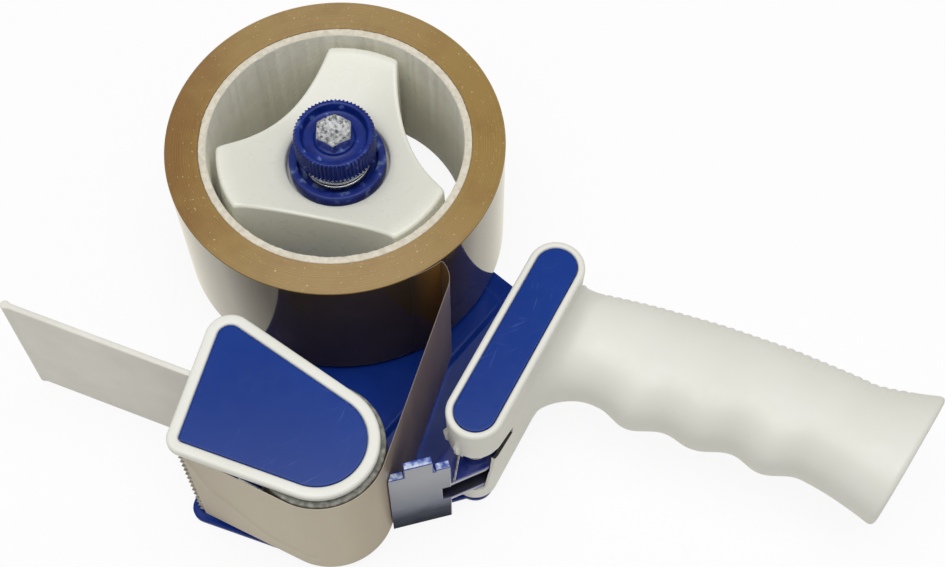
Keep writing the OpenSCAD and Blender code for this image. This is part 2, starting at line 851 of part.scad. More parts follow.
// Low-head screws that hold the cover on the roller's shaft and the post
module cover_screws() {
    color(zinc)
    for (p = cover_fixings)
        translate([p[0], p[1], cover_seat_z])
            union() {
                cylinder(r = screw_head_r, h = screw_head_h, $fn = fine);
                translate([0, 0, -screw_l]) cylinder(r = screw_r, h = screw_l + screw_head_h, $fn = fine);
            }
}

// Frame of the blade: x along the tape's run, y outwards through the tape
module at_blade() {
    at_roller(0) rotate(blade_angle) children();
}

blade_l = blade_back + tooth_l;
blade_h = blade_high_z - blade_low_z;
tooth_pitch = blade_h / tooth_count;
bracket_rivet_at = [bracket_from + rivet_r + rivet_edge, bracket_to - rivet_r - rivet_edge];
blade_rivet_at = [blade_low_z + blade_h / 4, blade_high_z - blade_h / 4];

// Serrated steel blade
module blade() {
    teeth = [for (i = [0 : tooth_count - 1]) each
        [[blade_back, i * tooth_pitch], [blade_l, (i + 0.5) * tooth_pitch]]];
    color(zinc)
    difference() {
        at_blade()
            translate([blade_run - blade_back, bracket_face + blade_t, blade_low_z])
                rotate([90, 0, 0])
                    linear_extrude(blade_t)
                        polygon(concat([[0, 0]], teeth, [[blade_back, blade_h], [0, blade_h]]));
        blade_rivet_bores();
    }
}

module blade_rivet_bores() {
    for (z = blade_rivet_at)
        at_blade()
            translate([(bracket_from + bracket_to) / 2, blade_face + cut, z])
                rotate([90, 0, 0])
                    cylinder(r = rivet_r + seat_gap, h = blade_t + bracket_t + 2 * cut, $fn = fine);
}

// Folded steel bracket that stands on the plate and backs the blade
module blade_bracket() {
    color(steel)
    difference() {
        at_blade()
            union() {
                translate([bracket_from, bracket_face - bracket_t, plate_top])
                    cube([bracket_w, bracket_t, cover_z - plate_top]);
                translate([bracket_from, bracket_face - bracket_t - bracket_foot, plate_top])
                    cube([bracket_w, bracket_foot + bracket_t, bracket_t]);
            }
        blade_rivet_bores();
        for (x = bracket_rivet_at)
            at_blade()
                translate([x, rivet_line, 0])
                    cylinder(r = rivet_r + seat_gap, h = plate_top + bracket_t + cut, $fn = fine);
    }
}

// Rivets that hold the blade to its bracket, with their heads inside
module blade_rivets() {
    blade_grip_l = blade_t + bracket_t - flush / 2;
    color(zinc)
    for (z = blade_rivet_at)
        at_blade()
            translate([(bracket_from + bracket_to) / 2, blade_face - flush / 2, z])
                rotate([90, 0, 0])
                    union() {
                        cylinder(r = rivet_r, h = blade_grip_l + rivet_head_h, $fn = fine);
                        translate([0, 0, blade_grip_l])
                            cylinder(r = rivet_r + blade_head_w, h = rivet_head_h, $fn = fine);
                    }
}

// Rivets that hold the bracket's foot to the plate
module bracket_rivets() {
    foot_grip_l = plate_top + bracket_t - flush;
    color(zinc)
    for (x = bracket_rivet_at)
        at_blade()
            translate([x, rivet_line, flush])
                union() {
                    cylinder(r = rivet_r, h = foot_grip_l + rivet_head_h, $fn = fine);
                    translate([0, 0, foot_grip_l])
                        cylinder(r = rivet_r + bracket_head_w, h = rivet_head_h, $fn = fine);
                }
}

// Moulded holder between plate and cover, with a socket for the wiper's root
module wiper_holder() {
    mouth = wiper_t / 2 + move_gap + holder_r * tan(wiper_swing + 2);
    neck = wiper_t / 2 + move_gap;
    color(ivory)
    translate([wiper_at[0], wiper_at[1], plate_top])
    difference() {
        cylinder(r = holder_r, h = cover_z - plate_top, $fn = fine);
        translate([0, 0, -cut]) cylinder(r = bead_r + run_fit, h = cover_z, $fn = fine);
        rotate(wiper_angle)
            translate([0, 0, -cut])
                linear_extrude(cover_z)
                    polygon([[0, -neck], [holder_r + cut, -mouth], [holder_r + cut, mouth], [0, neck]]);
    }
}

// Moulded wiper that smooths the tape down, with a bead at its root and its tip
module wiper_flap() {
    color([0.82, 0.82, 0.78])
    translate([wiper_at[0], wiper_at[1], wiper_low_z])
    rotate(wiper_angle)
    union() {
        h = wiper_high_z - wiper_low_z;
        cylinder(r = bead_r, h = h, $fn = fine);
        translate([0, -wiper_t / 2, 0]) cube([wiper_l - wiper_tip_r, wiper_t, h]);
        translate([wiper_l - wiper_tip_r, 0, 0]) cylinder(r = wiper_tip_r, h = h, $fn = fine);
    }
}

// Frame of the handle block: x from the lever pin along the block
module at_block(z) {
    translate([pivot[0], pivot[1], z]) rotate(block_angle) children();
}

// Bar with round ends along the block
module block_bar(from, to, r, h) {
    linear_extrude(h)
        hull()
            for (x = [from, to])
                translate([x, 0]) circle(r = r, $fn = fine);
}

// Reach of the palm side at a given distance along the grip
function palm_edge(s) =
    let (end = max(0, s - palm_flare_from) / palm_flare_l, off = (s - palm_mid) / palm_mid)
    grip_palm - palm_bow * off * off + palm_flare * pow(end, 1.3);

// Reach of the finger side at a given distance along the grip
function finger_edge(s) =
    let (
        swell = s > swell_from && s < swell_to ? cos(360 * (s - first_swell) / swell_pitch) : -1,
        neck = max(0, neck_l - s) / neck_l,
        fore = abs(s - fore_mid) < fore_half ? cos(90 * (s - fore_mid) / fore_half) : 0,
        end = max(0, s - swell_to) / (finger_flare_to - swell_to)
    )
    grip_finger + swell_h * swell + fore_swell * fore + neck_flare * neck * neck
        + finger_flare * pow(end, 1.4);

// Half thickness of the grip at a given distance along it
function half_thick(s) =
    let (neck = max(0, neck_l - s) / neck_l, end = max(0, s - grip_l + end_thick_l) / end_thick_l)
    grip_half_t + neck_thick * neck * neck + end_thick * end * end;

// One ring of the grip, in a slanted plane, drawn in by a given width
function grip_ring(s, inset) =
    let (
        palm = palm_edge(s + grip_slant * grip_palm) - inset,
        finger = finger_edge(s - grip_slant * grip_finger) - inset,
        mid = (palm - finger) / 2,
        wide = (palm + finger) / 2,
        thick = half_thick(s) - inset,
        along = dir(grip_angle),
        across = dir(grip_angle + 90)
    )
    [for (j = [0 : grip_sides - 1])
        let (
            a = 360 * j / grip_sides,
            t = mid + wide * sign(cos(a)) * pow(abs(cos(a)), 2 / section_power),
            z = grip_z + thick * sign(sin(a)) * pow(abs(sin(a)), 2 / section_power),
            p = grip_at + (s + grip_slant * t) * along + t * across
        )
        [p[0], p[1], z]];

module grip_loft(rings) {
    points = [for (ring = rings) each ring];
    polyhedron(points, [for (f = ring_faces(len(rings), grip_sides)) [f[0], f[2], f[1]]]);
}

function grip_run(from, to, steps, inset) = [
    for (i = [0 : steps]) grip_ring(from + (to - from) * i / steps, inset)
];

// Rings that round the rim of the grip's end
function grip_end() = [
    for (i = [1 : end_steps])
        let (a = 90 * i / end_steps)
        grip_ring(grip_l - end_round + end_round * sin(a), end_round * (1 - cos(a)))
];

// Moulded handle: a block that stands on the plate and a hollow grip with finger swells
module handle() {
    color(ivory)
    difference() {
        union() {
            hull()
                for (x = [0, block_l])
                    at_block(block_z) translate([x, 0, 0])
                        cylinder(r1 = block_base_r, r2 = block_r, h = block_h, $fn = fine);
            at_block(sheet_t)
                block_bar(pocket_from - foot_set, block_l, foot_r, block_z - sheet_t + cut);
            grip_loft(concat(grip_run(-grip_root, grip_l - end_round, grip_steps, 0), grip_end()));
        }
        grip_loft(grip_run(grip_solid_l, grip_l + cut, grip_steps, grip_wall));
        at_block(block_top_z - block_inlay_t)
            block_bar(0, block_l, block_r - block_rim, block_inlay_t + cut);
        at_block(pocket_floor_z) block_bar(pocket_from, block_l, pocket_r, block_h);
        at_block(slot_low_z) cylinder(r = slot_r, h = slot_high_z - slot_low_z, $fn = fine);
        at_block(slot_low_z + slot_step)
            translate([-2 * block_r, -slot_lap, 0])
                cube([2 * block_r + slot_left, 2 * block_r, slot_high_z - slot_low_z - 2 * slot_step]);
        at_block(0)
            translate([0, slot_lap, 0])
            rotate([90, 0, 0])
                linear_extrude(2 * block_r)
                    polygon([
                        [-2 * block_r, slot_lip_foot], [-slot_lip_low, slot_lip_foot],
                        [-slot_lip_high, slot_lip_z], [-slot_lip_high, slot_lip_z + relief_fall],
                        [slot_back, slot_lip_z], [slot_back, slot_lip_z + relief_t],
                        [-slot_lip_high, slot_lip_z + relief_fall + relief_t],
                        [-slot_lip_high, slot_lip_head], [-2 * block_r, slot_lip_head]
                    ]);
        at_block(pin_low_z)
            cylinder(r = pin_d / 2 + seat_gap, h = pin_high_z - pin_low_z + seat_gap, $fn = fine);
        for (x = handle_screw_at)
            at_block(sheet_t - cut)
                translate([x, 0, 0]) cylinder(r = handle_screw_r + seat_gap, h = block_h, $fn = fine);
    }
}

// Coloured inlay that closes the block's top
module handle_inlay() {
    color(blue)
    at_block(block_top_z - block_inlay_t)
        block_bar(0, block_l, block_r - block_rim - 2 * seat_gap, block_inlay_t - inlay_drop);
}

// Pan-head screws inside the block that hold the handle to the plate
module handle_screws() {
    color(zinc)
    for (x = handle_screw_at)
        at_block(0)
            translate([x, 0, 0])
                union() {
                    translate([0, 0, flush])
                        cylinder(r = handle_screw_r, h = pocket_floor_z - flush + cut, $fn = fine);
                    translate([0, 0, pocket_floor_z])
                        cylinder(r = handle_head_r, h = handle_head_h, $fn = fine);
                }
}

// Moulded plug that closes the end of the grip
module grip_end_plug() {
    color(ivory) grip_loft(grip_run(grip_l - plug_t, grip_l - plug_set, 2, grip_wall + plug_gap));
}

// Frame of the lever: x along its front wall, from the pin
module at_lever(z) {
    translate([pivot[0], pivot[1], z]) rotate(lever_angle) children();
}

module lever_ear(z) {
    at_lever(z - ear_t)
        linear_extrude(ear_t)
            hull() {
                circle(r = ear_r, $fn = fine);
                translate([ear_set - lever_reach, -lever_front])
                    square([lever_reach - ear_set - lever_near, lever_t]);
            }
}

// Sprung lever that keeps the tape against the roller
module tape_lever() {
    wall_back = lever_t - lever_front;
    color([0.12, 0.20, 0.55])
    difference() {
        union() {
            at_lever(0)
                translate([0, wall_back, 0])
                    rotate([90, 0, 0])
                        linear_extrude(lever_t)
                            polygon([
                                [-lever_reach, lever_low_z], [-lever_near, lever_low_z],
                                [-lever_near, window_low_z], [-lever_near - window_w, window_low_z],
                                [-lever_near - window_w, window_high_z], [-lever_near, window_high_z],
                                [-lever_near, lever_h], [-tab_to + tab_notch_w, lever_h],
                                [-tab_to + tab_notch_w, lever_h - tab_notch_h],
                                [-tab_to, lever_h - tab_notch_h],
                                [-tab_to, lever_h + lever_tab_h], [-tab_from, lever_h + lever_tab_h],
                                [-tab_from, lever_h], [-lever_reach, lever_h]
                            ]);
            lever_ear(ear_low_z);
            lever_ear(ear_high_z);
        }
        at_roller(-cut) cylinder(r = web_out_r + move_gap, h = tape_top, $fn = fine);
        at_lever(-cut) cylinder(r = pin_d / 2 + run_fit, h = tape_top, $fn = fine);
    }
}

// Steel pin of the lever, held in the block above and below its slot
module lever_pin() {
    color(zinc)
    at_lever(pin_low_z) cylinder(r = pin_d / 2, h = pin_high_z - pin_low_z, $fn = fine);
}

// Torsion spring round the pin: a straight tail, curls and a leg down to the wall's edge
torsion_end = 153;
torsion_curls = torsion_turns + (torsion_end - 90) / 360;
torsion_steps = round(torsion_curls * curl_rings);
torsion_helix = [
    for (i = [0 : torsion_steps])
        let (a = 90 + 360 * torsion_curls * i / torsion_steps)
        [torsion_r * cos(a), torsion_r * sin(a), torsion_z + torsion_rise * i / torsion_steps]
];
torsion_route = concat(
    [[torsion_tail, torsion_r, torsion_z], [torsion_r, torsion_r, torsion_z]],
    torsion_helix,
    [torsion_helix[torsion_steps] + torsion_leg * [-sin(torsion_end), cos(torsion_end), -torsion_fall]]
);
module lever_spring() {
    gap = least_gap(torsion_helix, curl_rings, torsion_wire);
    echo(str("lever spring, least gap between curls: ", gap));
    color(zinc) at_lever(0) wire_tube(torsion_route, torsion_wire);
}

frame_plate();
spindle_post();
friction_washer();
core_hub();
brake_flange();
tension_spring();
thrust_washer();
tension_knob();
knob_bolt();
tape_core();
tape_winding();
tape_web();
roller_shaft();
roller_core();
roller_sleeve();
roller_washers();
front_cover();
cover_inlay();
cover_post();
cover_screws();
blade();
blade_bracket();
blade_rivets();
bracket_rivets();
wiper_holder();
wiper_flap();
handle();
handle_inlay();
handle_screws();
grip_end_plug();
tape_lever();
lever_pin();
lever_spring();
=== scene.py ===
import math

import bmesh
import bpy
import numpy as np
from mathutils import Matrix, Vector, noise


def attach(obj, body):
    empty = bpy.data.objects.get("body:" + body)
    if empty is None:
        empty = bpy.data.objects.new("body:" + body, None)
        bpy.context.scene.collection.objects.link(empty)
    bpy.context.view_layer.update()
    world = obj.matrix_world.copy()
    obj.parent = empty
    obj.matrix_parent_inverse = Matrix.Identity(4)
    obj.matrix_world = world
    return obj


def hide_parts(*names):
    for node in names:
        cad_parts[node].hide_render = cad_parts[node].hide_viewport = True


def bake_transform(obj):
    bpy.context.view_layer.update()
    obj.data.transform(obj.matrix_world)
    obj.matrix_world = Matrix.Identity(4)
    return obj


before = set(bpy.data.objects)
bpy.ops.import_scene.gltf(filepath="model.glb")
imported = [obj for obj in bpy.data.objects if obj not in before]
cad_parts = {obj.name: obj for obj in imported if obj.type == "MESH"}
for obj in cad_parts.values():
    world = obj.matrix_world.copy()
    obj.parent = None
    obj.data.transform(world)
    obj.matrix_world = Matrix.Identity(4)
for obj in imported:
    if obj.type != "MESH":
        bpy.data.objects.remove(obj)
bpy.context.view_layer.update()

# Studio: a pale floor that the dispenser lies on, a large soft light overhead and an even white room.
# The camera stands above the front edge, where the round edges of the roll put it.
scene = bpy.context.scene
scene.view_settings.view_transform = "Standard"


def set_out(name, data):
    """A new object in the scene."""
    made = bpy.data.objects.new(name, data)
    scene.collection.objects.link(made)
    return made


class Finish:
    """A material in the making, with its nodes and its main shader."""

    def __init__(self, name):
        self.material = bpy.data.materials.new(name)
        self.material.use_nodes = True
        self.tree = self.material.node_tree
        self.shader = self.tree.nodes["Principled BSDF"]

    def give(self, socket, value):
        """A socket gets a fixed value, or what comes from another node."""
        if isinstance(value, bpy.types.NodeSocket):
            self.tree.links.new(value, socket)
        else:
            socket.default_value = value

    def fix(self, name, value):
        """One property of the surface."""
        self.give(self.shader.inputs[name], value)

    def add(self, kind, **values):
        """A new node, with what its sockets get."""
        node = self.tree.nodes.new("ShaderNode" + kind)
        for name, value in values.items():
            self.give(node.inputs[name.replace("_", " ")], value)
        return node

    def join(self, first, second, operation):
        """Two values, or a value and a number, put together."""
        joint = self.add("Math")
        joint.operation = operation
        self.give(joint.inputs[0], first)
        self.give(joint.inputs[1], second)
        return joint.outputs[0]

    def blend(self, share, first, second):
        """One colour going over to another."""
        mix = self.add("Mix")
        mix.data_type = "RGBA"
        for name, value in (("Factor", share), ("A", first), ("B", second)):
            self.give(mix.inputs[name], value)
        return mix.outputs["Result"]


eye = set_out("eye", bpy.data.cameras.new("eye"))
eye.data.sensor_width = 36
eye.data.lens = 64.575
eye.data.clip_start = 0.01
eye.location = (0.040393, -0.261839, 0.481050)
eye.rotation_euler = (math.radians(26.788), 0, 0)
scene.camera = eye

softbox = set_out("softbox", bpy.data.lights.new("softbox", "AREA"))
softbox.data.shape = "RECTANGLE"
softbox.data.size = 1.0
softbox.data.size_y = 0.8
softbox.data.energy = 8.7
softbox.location = (0.02, -0.1, 1.1)

room = bpy.data.worlds.new("room")
room.use_nodes = True
room_light = room.node_tree.nodes["Background"]
room_light.inputs["Color"].default_value = (1, 1, 1, 1)
room_light.inputs["Strength"].default_value = 0.32
scene.world = room

floor_reach, floor_z = 12, -0.0004
floor_corners = [(x * floor_reach, y * floor_reach, floor_z) for x, y in ((-1, -1), (1, -1), (1, 1), (-1, 1))]
floor = set_out("floor", bpy.data.meshes.new("floor"))
floor.data.from_pydata(floor_corners, [], [(0, 1, 2, 3)])
floor_paint = Finish("floor paint")
floor_paint.fix("Base Color", (0.92, 0.92, 0.92, 1))
floor_paint.fix("Roughness", 0.9)
floor_paint.fix("Specular IOR Level", 0)
rays = floor_paint.add("LightPath").outputs
mirrored = floor_paint.join(rays["Is Glossy Ray"], rays["Is Transmission Ray"], "MAXIMUM")
floor_tint = floor_paint.blend(mirrored, (1, 1, 1, 1), (0.85, 0.81, 0.7, 1))
floor_white = floor_paint.add("Emission", Color=floor_tint, Strength=1.0)
floor_share = floor_paint.join(floor_paint.join(rays["Is Camera Ray"], mirrored, "MAXIMUM"), 0.9, "MULTIPLY")
floor_mix = floor_paint.add("MixShader")
for socket, value in zip(floor_mix.inputs, (floor_share, floor_paint.shader.outputs[0], floor_white.outputs[0])):
    floor_paint.give(socket, value)
floor_paint.give(floor_paint.tree.nodes["Material Output"].inputs["Surface"], floor_mix.outputs[0])
floor.data.materials.append(floor_paint.material)

# Side plate: the frame that carries everything, cut from 2 mm steel sheet.
# It is pressed up in the middle to stiffen it, pierced for rivets and screws, and stove-enamelled navy.
plate_t, plate_top = 2.0, 3.2


def colour(red, green, blue):
    """A colour as it is read off a screen, from 0 to 255, in the light that shaders use."""
    return tuple(((c / 255 + 0.055) / 1.055) ** 2.4 if c > 10 else c / 3295 for c in (red, green, blue)) + (1,)


class PieceFinish(Finish):
    """The finish of a piece, with its textures laid in the piece's own frame."""

    def here(self):
        """The place on the piece, in metres."""
        return self.add("TexCoord").outputs["Object"]

    def grain(self, scale, detail, stretch=(1, 1, 1), turn=0.0):
        """Noise on the piece; a scale of 1000 gives marks of about a millimetre."""
        laid = self.add("Mapping", Vector=self.here(), Scale=[1 / s for s in stretch], Rotation=(0, 0, turn))
        laid.vector_type = "TEXTURE"
        return self.add("TexNoise", Vector=laid.outputs["Vector"], Scale=scale, Detail=detail).outputs["Fac"]

    def value_of(self, grain):
        """A grain from its scale and detail, or a value as it is."""
        return self.grain(*grain) if isinstance(grain, tuple) else grain

    def spread(self, value, start, end, low=0.0, high=1.0):
        """What a value runs through between two levels, spread between two others."""
        ramp = self.add("MapRange", From_Min=start, From_Max=end, To_Min=low, To_Max=high)
        self.give(ramp.inputs["Value"], self.value_of(value))
        return ramp.outputs["Result"]

    def tints(self, value, *stops):
        """Colours along a value from 0 to 1, each with its place and then its red, green and blue."""
        ramp = self.add("ValToRGB", Fac=self.value_of(value))
        band = ramp.color_ramp
        while len(band.elements) < len(stops):
            band.elements.new(0.5)
        for element, (at, *tint) in zip(band.elements, stops):
            element.position = at
            element.color = colour(*tint)
        return ramp.outputs["Color"]

    def paint(self, value, *stops):
        """The colour of the surface."""
        self.fix("Base Color", self.tints(value, *stops))

    def gloss(self, value, low, high):
        """A roughness that wanders with a grain."""
        self.fix("Roughness", self.spread(value, 0.3, 0.7, low, high))

    def relief(self, value, strength, depth):
        """Fine relief in the surface, with its depth in metres."""
        bump = self.add("Bump", Height=self.value_of(value), Strength=strength, Distance=depth)
        self.fix("Normal", bump.outputs["Normal"])


plate_paint = PieceFinish("navy enamel")
plate_paint.paint((60, 4), (0.3, 16, 47, 130), (0.7, 23, 55, 143))
plate_paint.gloss((240, 5), 0.1, 0.24)
plate_paint.relief((700, 2), 0.1, 0.0002)
plate_paint.fix("Specular IOR Level", 0.09)


def set_mesh(name, points, faces, finishes, sharp=38):
    """A piece from points in millimetres, smooth but for its sharp edges."""
    made = bpy.data.meshes.new(name)
    made.from_pydata([(0.001 * x, 0.001 * y, 0.001 * z) for x, y, z in points], [], faces)
    tidy = bmesh.new()
    tidy.from_mesh(made)
    bmesh.ops.remove_doubles(tidy, verts=tidy.verts, dist=2e-7)
    bmesh.ops.recalc_face_normals(tidy, faces=tidy.faces)
    tidy.to_mesh(made)
    tidy.free()
    made.shade_smooth()
    made.set_sharp_from_angle(angle=math.radians(sharp))
    for finish in finishes:
        made.materials.append(finish.material)
    return set_out(name, made)


def skin(name, rings, finish, loop=False, sharp=38):
    """A skin through rings of as many points each, with its ends closed, or its last ring on its first."""
    count = len(rings[0])
    points = [p for ring in rings for p in ring]
    faces = []
    for i in range(len(rings) if loop else len(rings) - 1):
        low, high = i * count, (i + 1) % len(rings) * count
        for j in range(count):
            k = (j + 1) % count
            faces.append((low + j, low + k, high + k, high + j))
    if not loop:
        faces.append(tuple(range(count))[::-1])
        faces.append(tuple(range(len(points) - count, len(points))))
    return set_mesh(name, points, faces, [finish], sharp)


def turns_of(parts):
    """Equal steps round a full turn."""
    return [2 * math.pi * i / parts for i in range(parts)]


def circle(r, z, turns, at=(0, 0)):
    """A level ring about an upright axis."""
    return [(at[0] + r * math.cos(a), at[1] + r * math.sin(a), z) for a in turns]


def band_round(circles, inset, step=5):
    """A taut band round circles (x, y, r) given anticlockwise, drawn in by a width."""
    turns = []
    for (x0, y0, r0), (x1, y1, r1) in zip(circles, circles[1:] + circles[:1]):
        turns.append(math.atan2(y1 - y0, x1 - x0) - math.acos((r0 - r1) / math.hypot(x1 - x0, y1 - y0)))
    line = []
    for i, (x, y, r) in enumerate(circles):
        start, end = turns[i - 1], turns[i]
        while end < start:
            end += 2 * math.pi
        while end - start > 2 * math.pi:
            end -= 2 * math.pi
        parts = max(2, math.ceil(math.degrees(end - start) / step))
        for j in range(parts + 1):
            a = start + (end - start) * j / parts
            line.append((x + (r - inset) * math.cos(a), y + (r - inset) * math.sin(a)))
    return line


def foot_edge(z, r, more=0.0, parts=4):
    """Heights and insets of a rounded lower edge, from the flat face outwards."""
    turns = [math.pi / 2 * i / parts for i in range(parts + 1)]
    return [(z, more + r + 0.3)] + [(z + r * (1 - math.cos(a)), more + r * (1 - math.sin(a))) for a in turns]


def head_edge(z, r, more=0.0, parts=4):
    """Heights and insets of a rounded upper edge, from the side to the flat face."""
    turns = [math.pi / 2 * i / parts for i in range(parts + 1)]
    return [(z - r * (1 - math.sin(a)), more + r * (1 - math.cos(a))) for a in turns] + [(z, more + r + 0.3)]


def slab(name, circles, levels, finish, step=5):
    """A moulding or pressing with the plan of a taut band, through heights and insets."""
    return skin(name, [[(x, y, z) for x, y in band_round(circles, d, step)] for z, d in levels], finish)


def combine(piece, others, operation, sharp=38):
    """Adds other solids to a piece or cuts them out of it, and takes them away."""
    for other in others:
        step = piece.modifiers.new("step", "BOOLEAN")
        step.operation = operation
        step.solver = "EXACT"
        step.object = other
    bpy.context.view_layer.update()
    made = bpy.data.meshes.new_from_object(piece.evaluated_get(bpy.context.evaluated_depsgraph_get()))
    piece.modifiers.clear()
    piece.data = made
    for other in others:
        bpy.data.objects.remove(other)
    made.shade_smooth()
    made.set_sharp_from_angle(angle=math.radians(sharp))


def peg(at, r, low, high, finish, parts=32):
    """A plain round tool for piercing a hole."""
    return skin("peg", [circle(r, z, turns_of(parts), at) for z in (low, high)], finish)


def set_at(origin, turn):
    """The way from a piece's own frame, turned about its origin, to the dispenser's."""
    c, s = math.cos(turn), math.sin(turn)

    def place(x, y, z):
        return (origin[0] + c * x - s * y, origin[1] + s * x + c * y, z)

    return place


roller_axis = (-0.8, -95.1)
lever_pin_at = (41.2, -86.2)
block_l, block_turn = 49.4, math.radians(62.5)
tape_turn = 153.4
by_block = set_at(lever_pin_at, block_turn)
by_blade = set_at(roller_axis, math.radians(tape_turn))
block_far = by_block(block_l, 0, 0)[:2]
press_step = [(plate_t, 2.1), (2.12, 2.5), (2.5, 2.9), (2.9, 3.2), (3.12, 3.6)]
press_step += [(plate_top, 4.1), (plate_top, 4.6)]
hub_lobe = (0, 0, 19.4)
cover_corner = (-26.4, -64.8, 7.0)
front_lobe = [hub_lobe, cover_corner, (-37.8, -93.9, 4.8), (*roller_axis, 16.2)]
handle_lobe = [hub_lobe, (*lever_pin_at, 5.5), (*by_block(block_l + 3.6, 0, 0)[:2], 5.5)]
between = [hub_lobe, (*roller_axis, 7), (*lever_pin_at, 4)]
knee = (roller_axis[0] + 12.2, roller_axis[1] + 25.1, 6.2)
panel_end = (block_far[0] - 18.1, block_far[1] + 15.3, 6.2)
plate_middle = np.array((6.0, -50.0))
plate_turns = turns_of(900)


def outline_of(bands, inset):
    """The line round several taut bands laid over each other, seen from the plate's middle."""
    reach = np.zeros(len(plate_turns))
    for circles in bands:
        start = np.array(band_round(circles, inset, 3)) - plate_middle
        along = np.roll(start, -1, axis=0) - start
        for i, a in enumerate(plate_turns):
            c, s = math.cos(a), math.sin(a)
            across = c * along[:, 1] - s * along[:, 0]
            across[np.abs(across) < 1e-12] = 1e-12
            far = (start[:, 0] * along[:, 1] - start[:, 1] * along[:, 0]) / across
            share = (start[:, 0] * s - start[:, 1] * c) / across
            hit = far[(share >= -1e-9) & (share <= 1 + 1e-9) & (far > 0)]
            if len(hit):
                reach[i] = max(reach[i], hit.max())
    return [plate_middle + r * np.array((math.cos(a), math.sin(a))) for r, a in zip(reach, plate_turns)]


plate_rings = []
for z, d in foot_edge(0, 0.35) + head_edge(plate_t, 0.45):
    plate_rings.append([(x, y, z) for x, y in outline_of([front_lobe, handle_lobe, between], d)])
for z, d in press_step:
    plate_rings.append([(x, y, z) for x, y in outline_of([front_lobe, [hub_lobe, knee, panel_end]], d)])
plate = skin("side_plate", plate_rings, plate_paint)
shaft_hole_r, screw_hole_r, rivet_hole_r = 3.05, 2.55, 1.65
holes = [(roller_axis, shaft_hole_r), ((-22.9, -67.8), rivet_hole_r)]
holes += [(by_block(x, 0, 0), screw_hole_r) for x in (17, 45.4)]
holes += [(by_blade(x, 9.2, 0), rivet_hole_r) for x in (21.8, 27.2)]
combine(plate, [peg(at, r, -1, 5, plate_paint) for at, r in holes], "DIFFERENCE")
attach(plate, "frame")
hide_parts("frame_plate")

# Spindle, roller shaft, cover post and lever pin: plain turned steel rods.
# The spindle is welded to the plate, the shaft and the post are riveted into it, the pin is driven in.
turned_steel = PieceFinish("turned steel")
lines = turned_steel.grain(90, 4, (1, 1, 60))
turned_steel.paint(lines, (0.3, 150, 152, 155), (0.7, 196, 198, 200))
turned_steel.gloss(lines, 0.24, 0.42)
turned_steel.relief(lines, 0.15, 0.0001)
turned_steel.fix("Metallic", 1.0)


def dress(node, finish):
    """Gives a node that keeps its own solid a finish."""
    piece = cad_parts[node]
    if not piece.material_slots:
        piece.data.materials.append(finish.material)
    for slot in piece.material_slots:
        slot.material = finish.material


for node in ("spindle_post", "roller_shaft", "cover_post", "lever_pin"):
    dress(node, turned_steel)

# Friction washer: a disc of brown pressed fibre that lies on the spindle's foot under the hub.
# It is stamped from sheet and left loose.
brake_fibre = PieceFinish("brake fibre")
weave = brake_fibre.grain(1400, 6)
brake_fibre.paint(weave, (0.3, 70, 46, 32), (0.7, 112, 80, 58))
brake_fibre.relief(weave, 0.5, 0.0002)
brake_fibre.fix("Roughness", 0.85)
dress("friction_washer", brake_fibre)

# Core hub: a hollow three-arm moulding in glossy off-white plastic that holds the roll by its core.
# Its dished top leads down to the brake, and its arms taper so that a core slides on.
hub_ivory = PieceFinish("ivory hub moulding")
hub_ivory.paint((45, 3), (0.3, 232, 231, 218), (0.7, 236, 235, 223))
hub_ivory.gloss((300, 4), 0.26, 0.32)
hub_ivory.relief((900, 2), 0.03, 0.0001)
hub_low, hub_rim_z = 5.0, 44.4
hub_open_r, hub_edge_r, hub_wide_r = 15.6, 35.6, 37.6
hub_side_r, hub_side_d = 66.43, 88.23
hub_arm = math.radians(77.7)
hub_dish_r, hub_dish_rise = 33.4, 8.0
hub_taper_top, hub_taper_h = 50.4, 28.7
hub_round = 1.2
hub_wall_r, hub_sleeve_r, hub_bore_r = 17.8, 9.4, 6.06
hub_floor_low, hub_floor = 38.0, 40.4


def soften(corners, reach, parts=4, only=None):
    """A closed line with its corners rounded, or only those that are named."""
    line = []
    for i, corner in enumerate(corners):
        here = np.array(corner, float)
        if only is not None and i not in only:
            line.append(tuple(here))
            continue
        back, ahead = np.array(corners[i - 1], float), np.array(corners[(i + 1) % len(corners)], float)
        cut_in = min(reach, 0.48 * np.linalg.norm(back - here))
        cut_out = min(reach, 0.48 * np.linalg.norm(ahead - here))
        start = here + (back - here) / np.linalg.norm(back - here) * cut_in
        end = here + (ahead - here) / np.linalg.norm(ahead - here) * cut_out
        for j in range(parts + 1):
            f = j / parts
            line.append(tuple((1 - f) ** 2 * start + 2 * f * (1 - f) * here + f * f * end))
    return line


def hub_line(end_r, inset):
    """The hub's plan: three round ends joined by hollow sides, drawn in by a width."""
    side_r = hub_side_r + inset
    end_r = end_r - inset
    line = []
    corners = []
    for i in range(3):
        arm = hub_arm + 2 * math.pi * i / 3
        bend = math.acos((end_r**2 + hub_side_d**2 - side_r**2) / (2 * end_r * hub_side_d))
        half = math.pi / 3 - bend
        corners.append(len(line))
        end_turns = [arm + half * (j / 6 - 1) for j in range(13)]
        line += [(end_r * math.cos(a), end_r * math.sin(a)) for a in end_turns]
        corners.append(len(line) - 1)
        centre = arm + math.pi / 3
        cx, cy = hub_side_d * math.cos(centre), hub_side_d * math.sin(centre)
        sweep = math.asin(end_r * math.sin(bend) / side_r)
        for j in range(1, 26):
            a = centre + math.pi + sweep - 2 * sweep * j / 26
            line.append((cx + side_r * math.cos(a), cy + side_r * math.sin(a)))
    return soften(line, 1.3, 4, corners)


def hub_dish(r):
    """Height of the hub's dished top at a radius."""
    return hub_rim_z + hub_dish_rise * (min(r, hub_dish_r) - hub_open_r) / (hub_dish_r - hub_open_r)


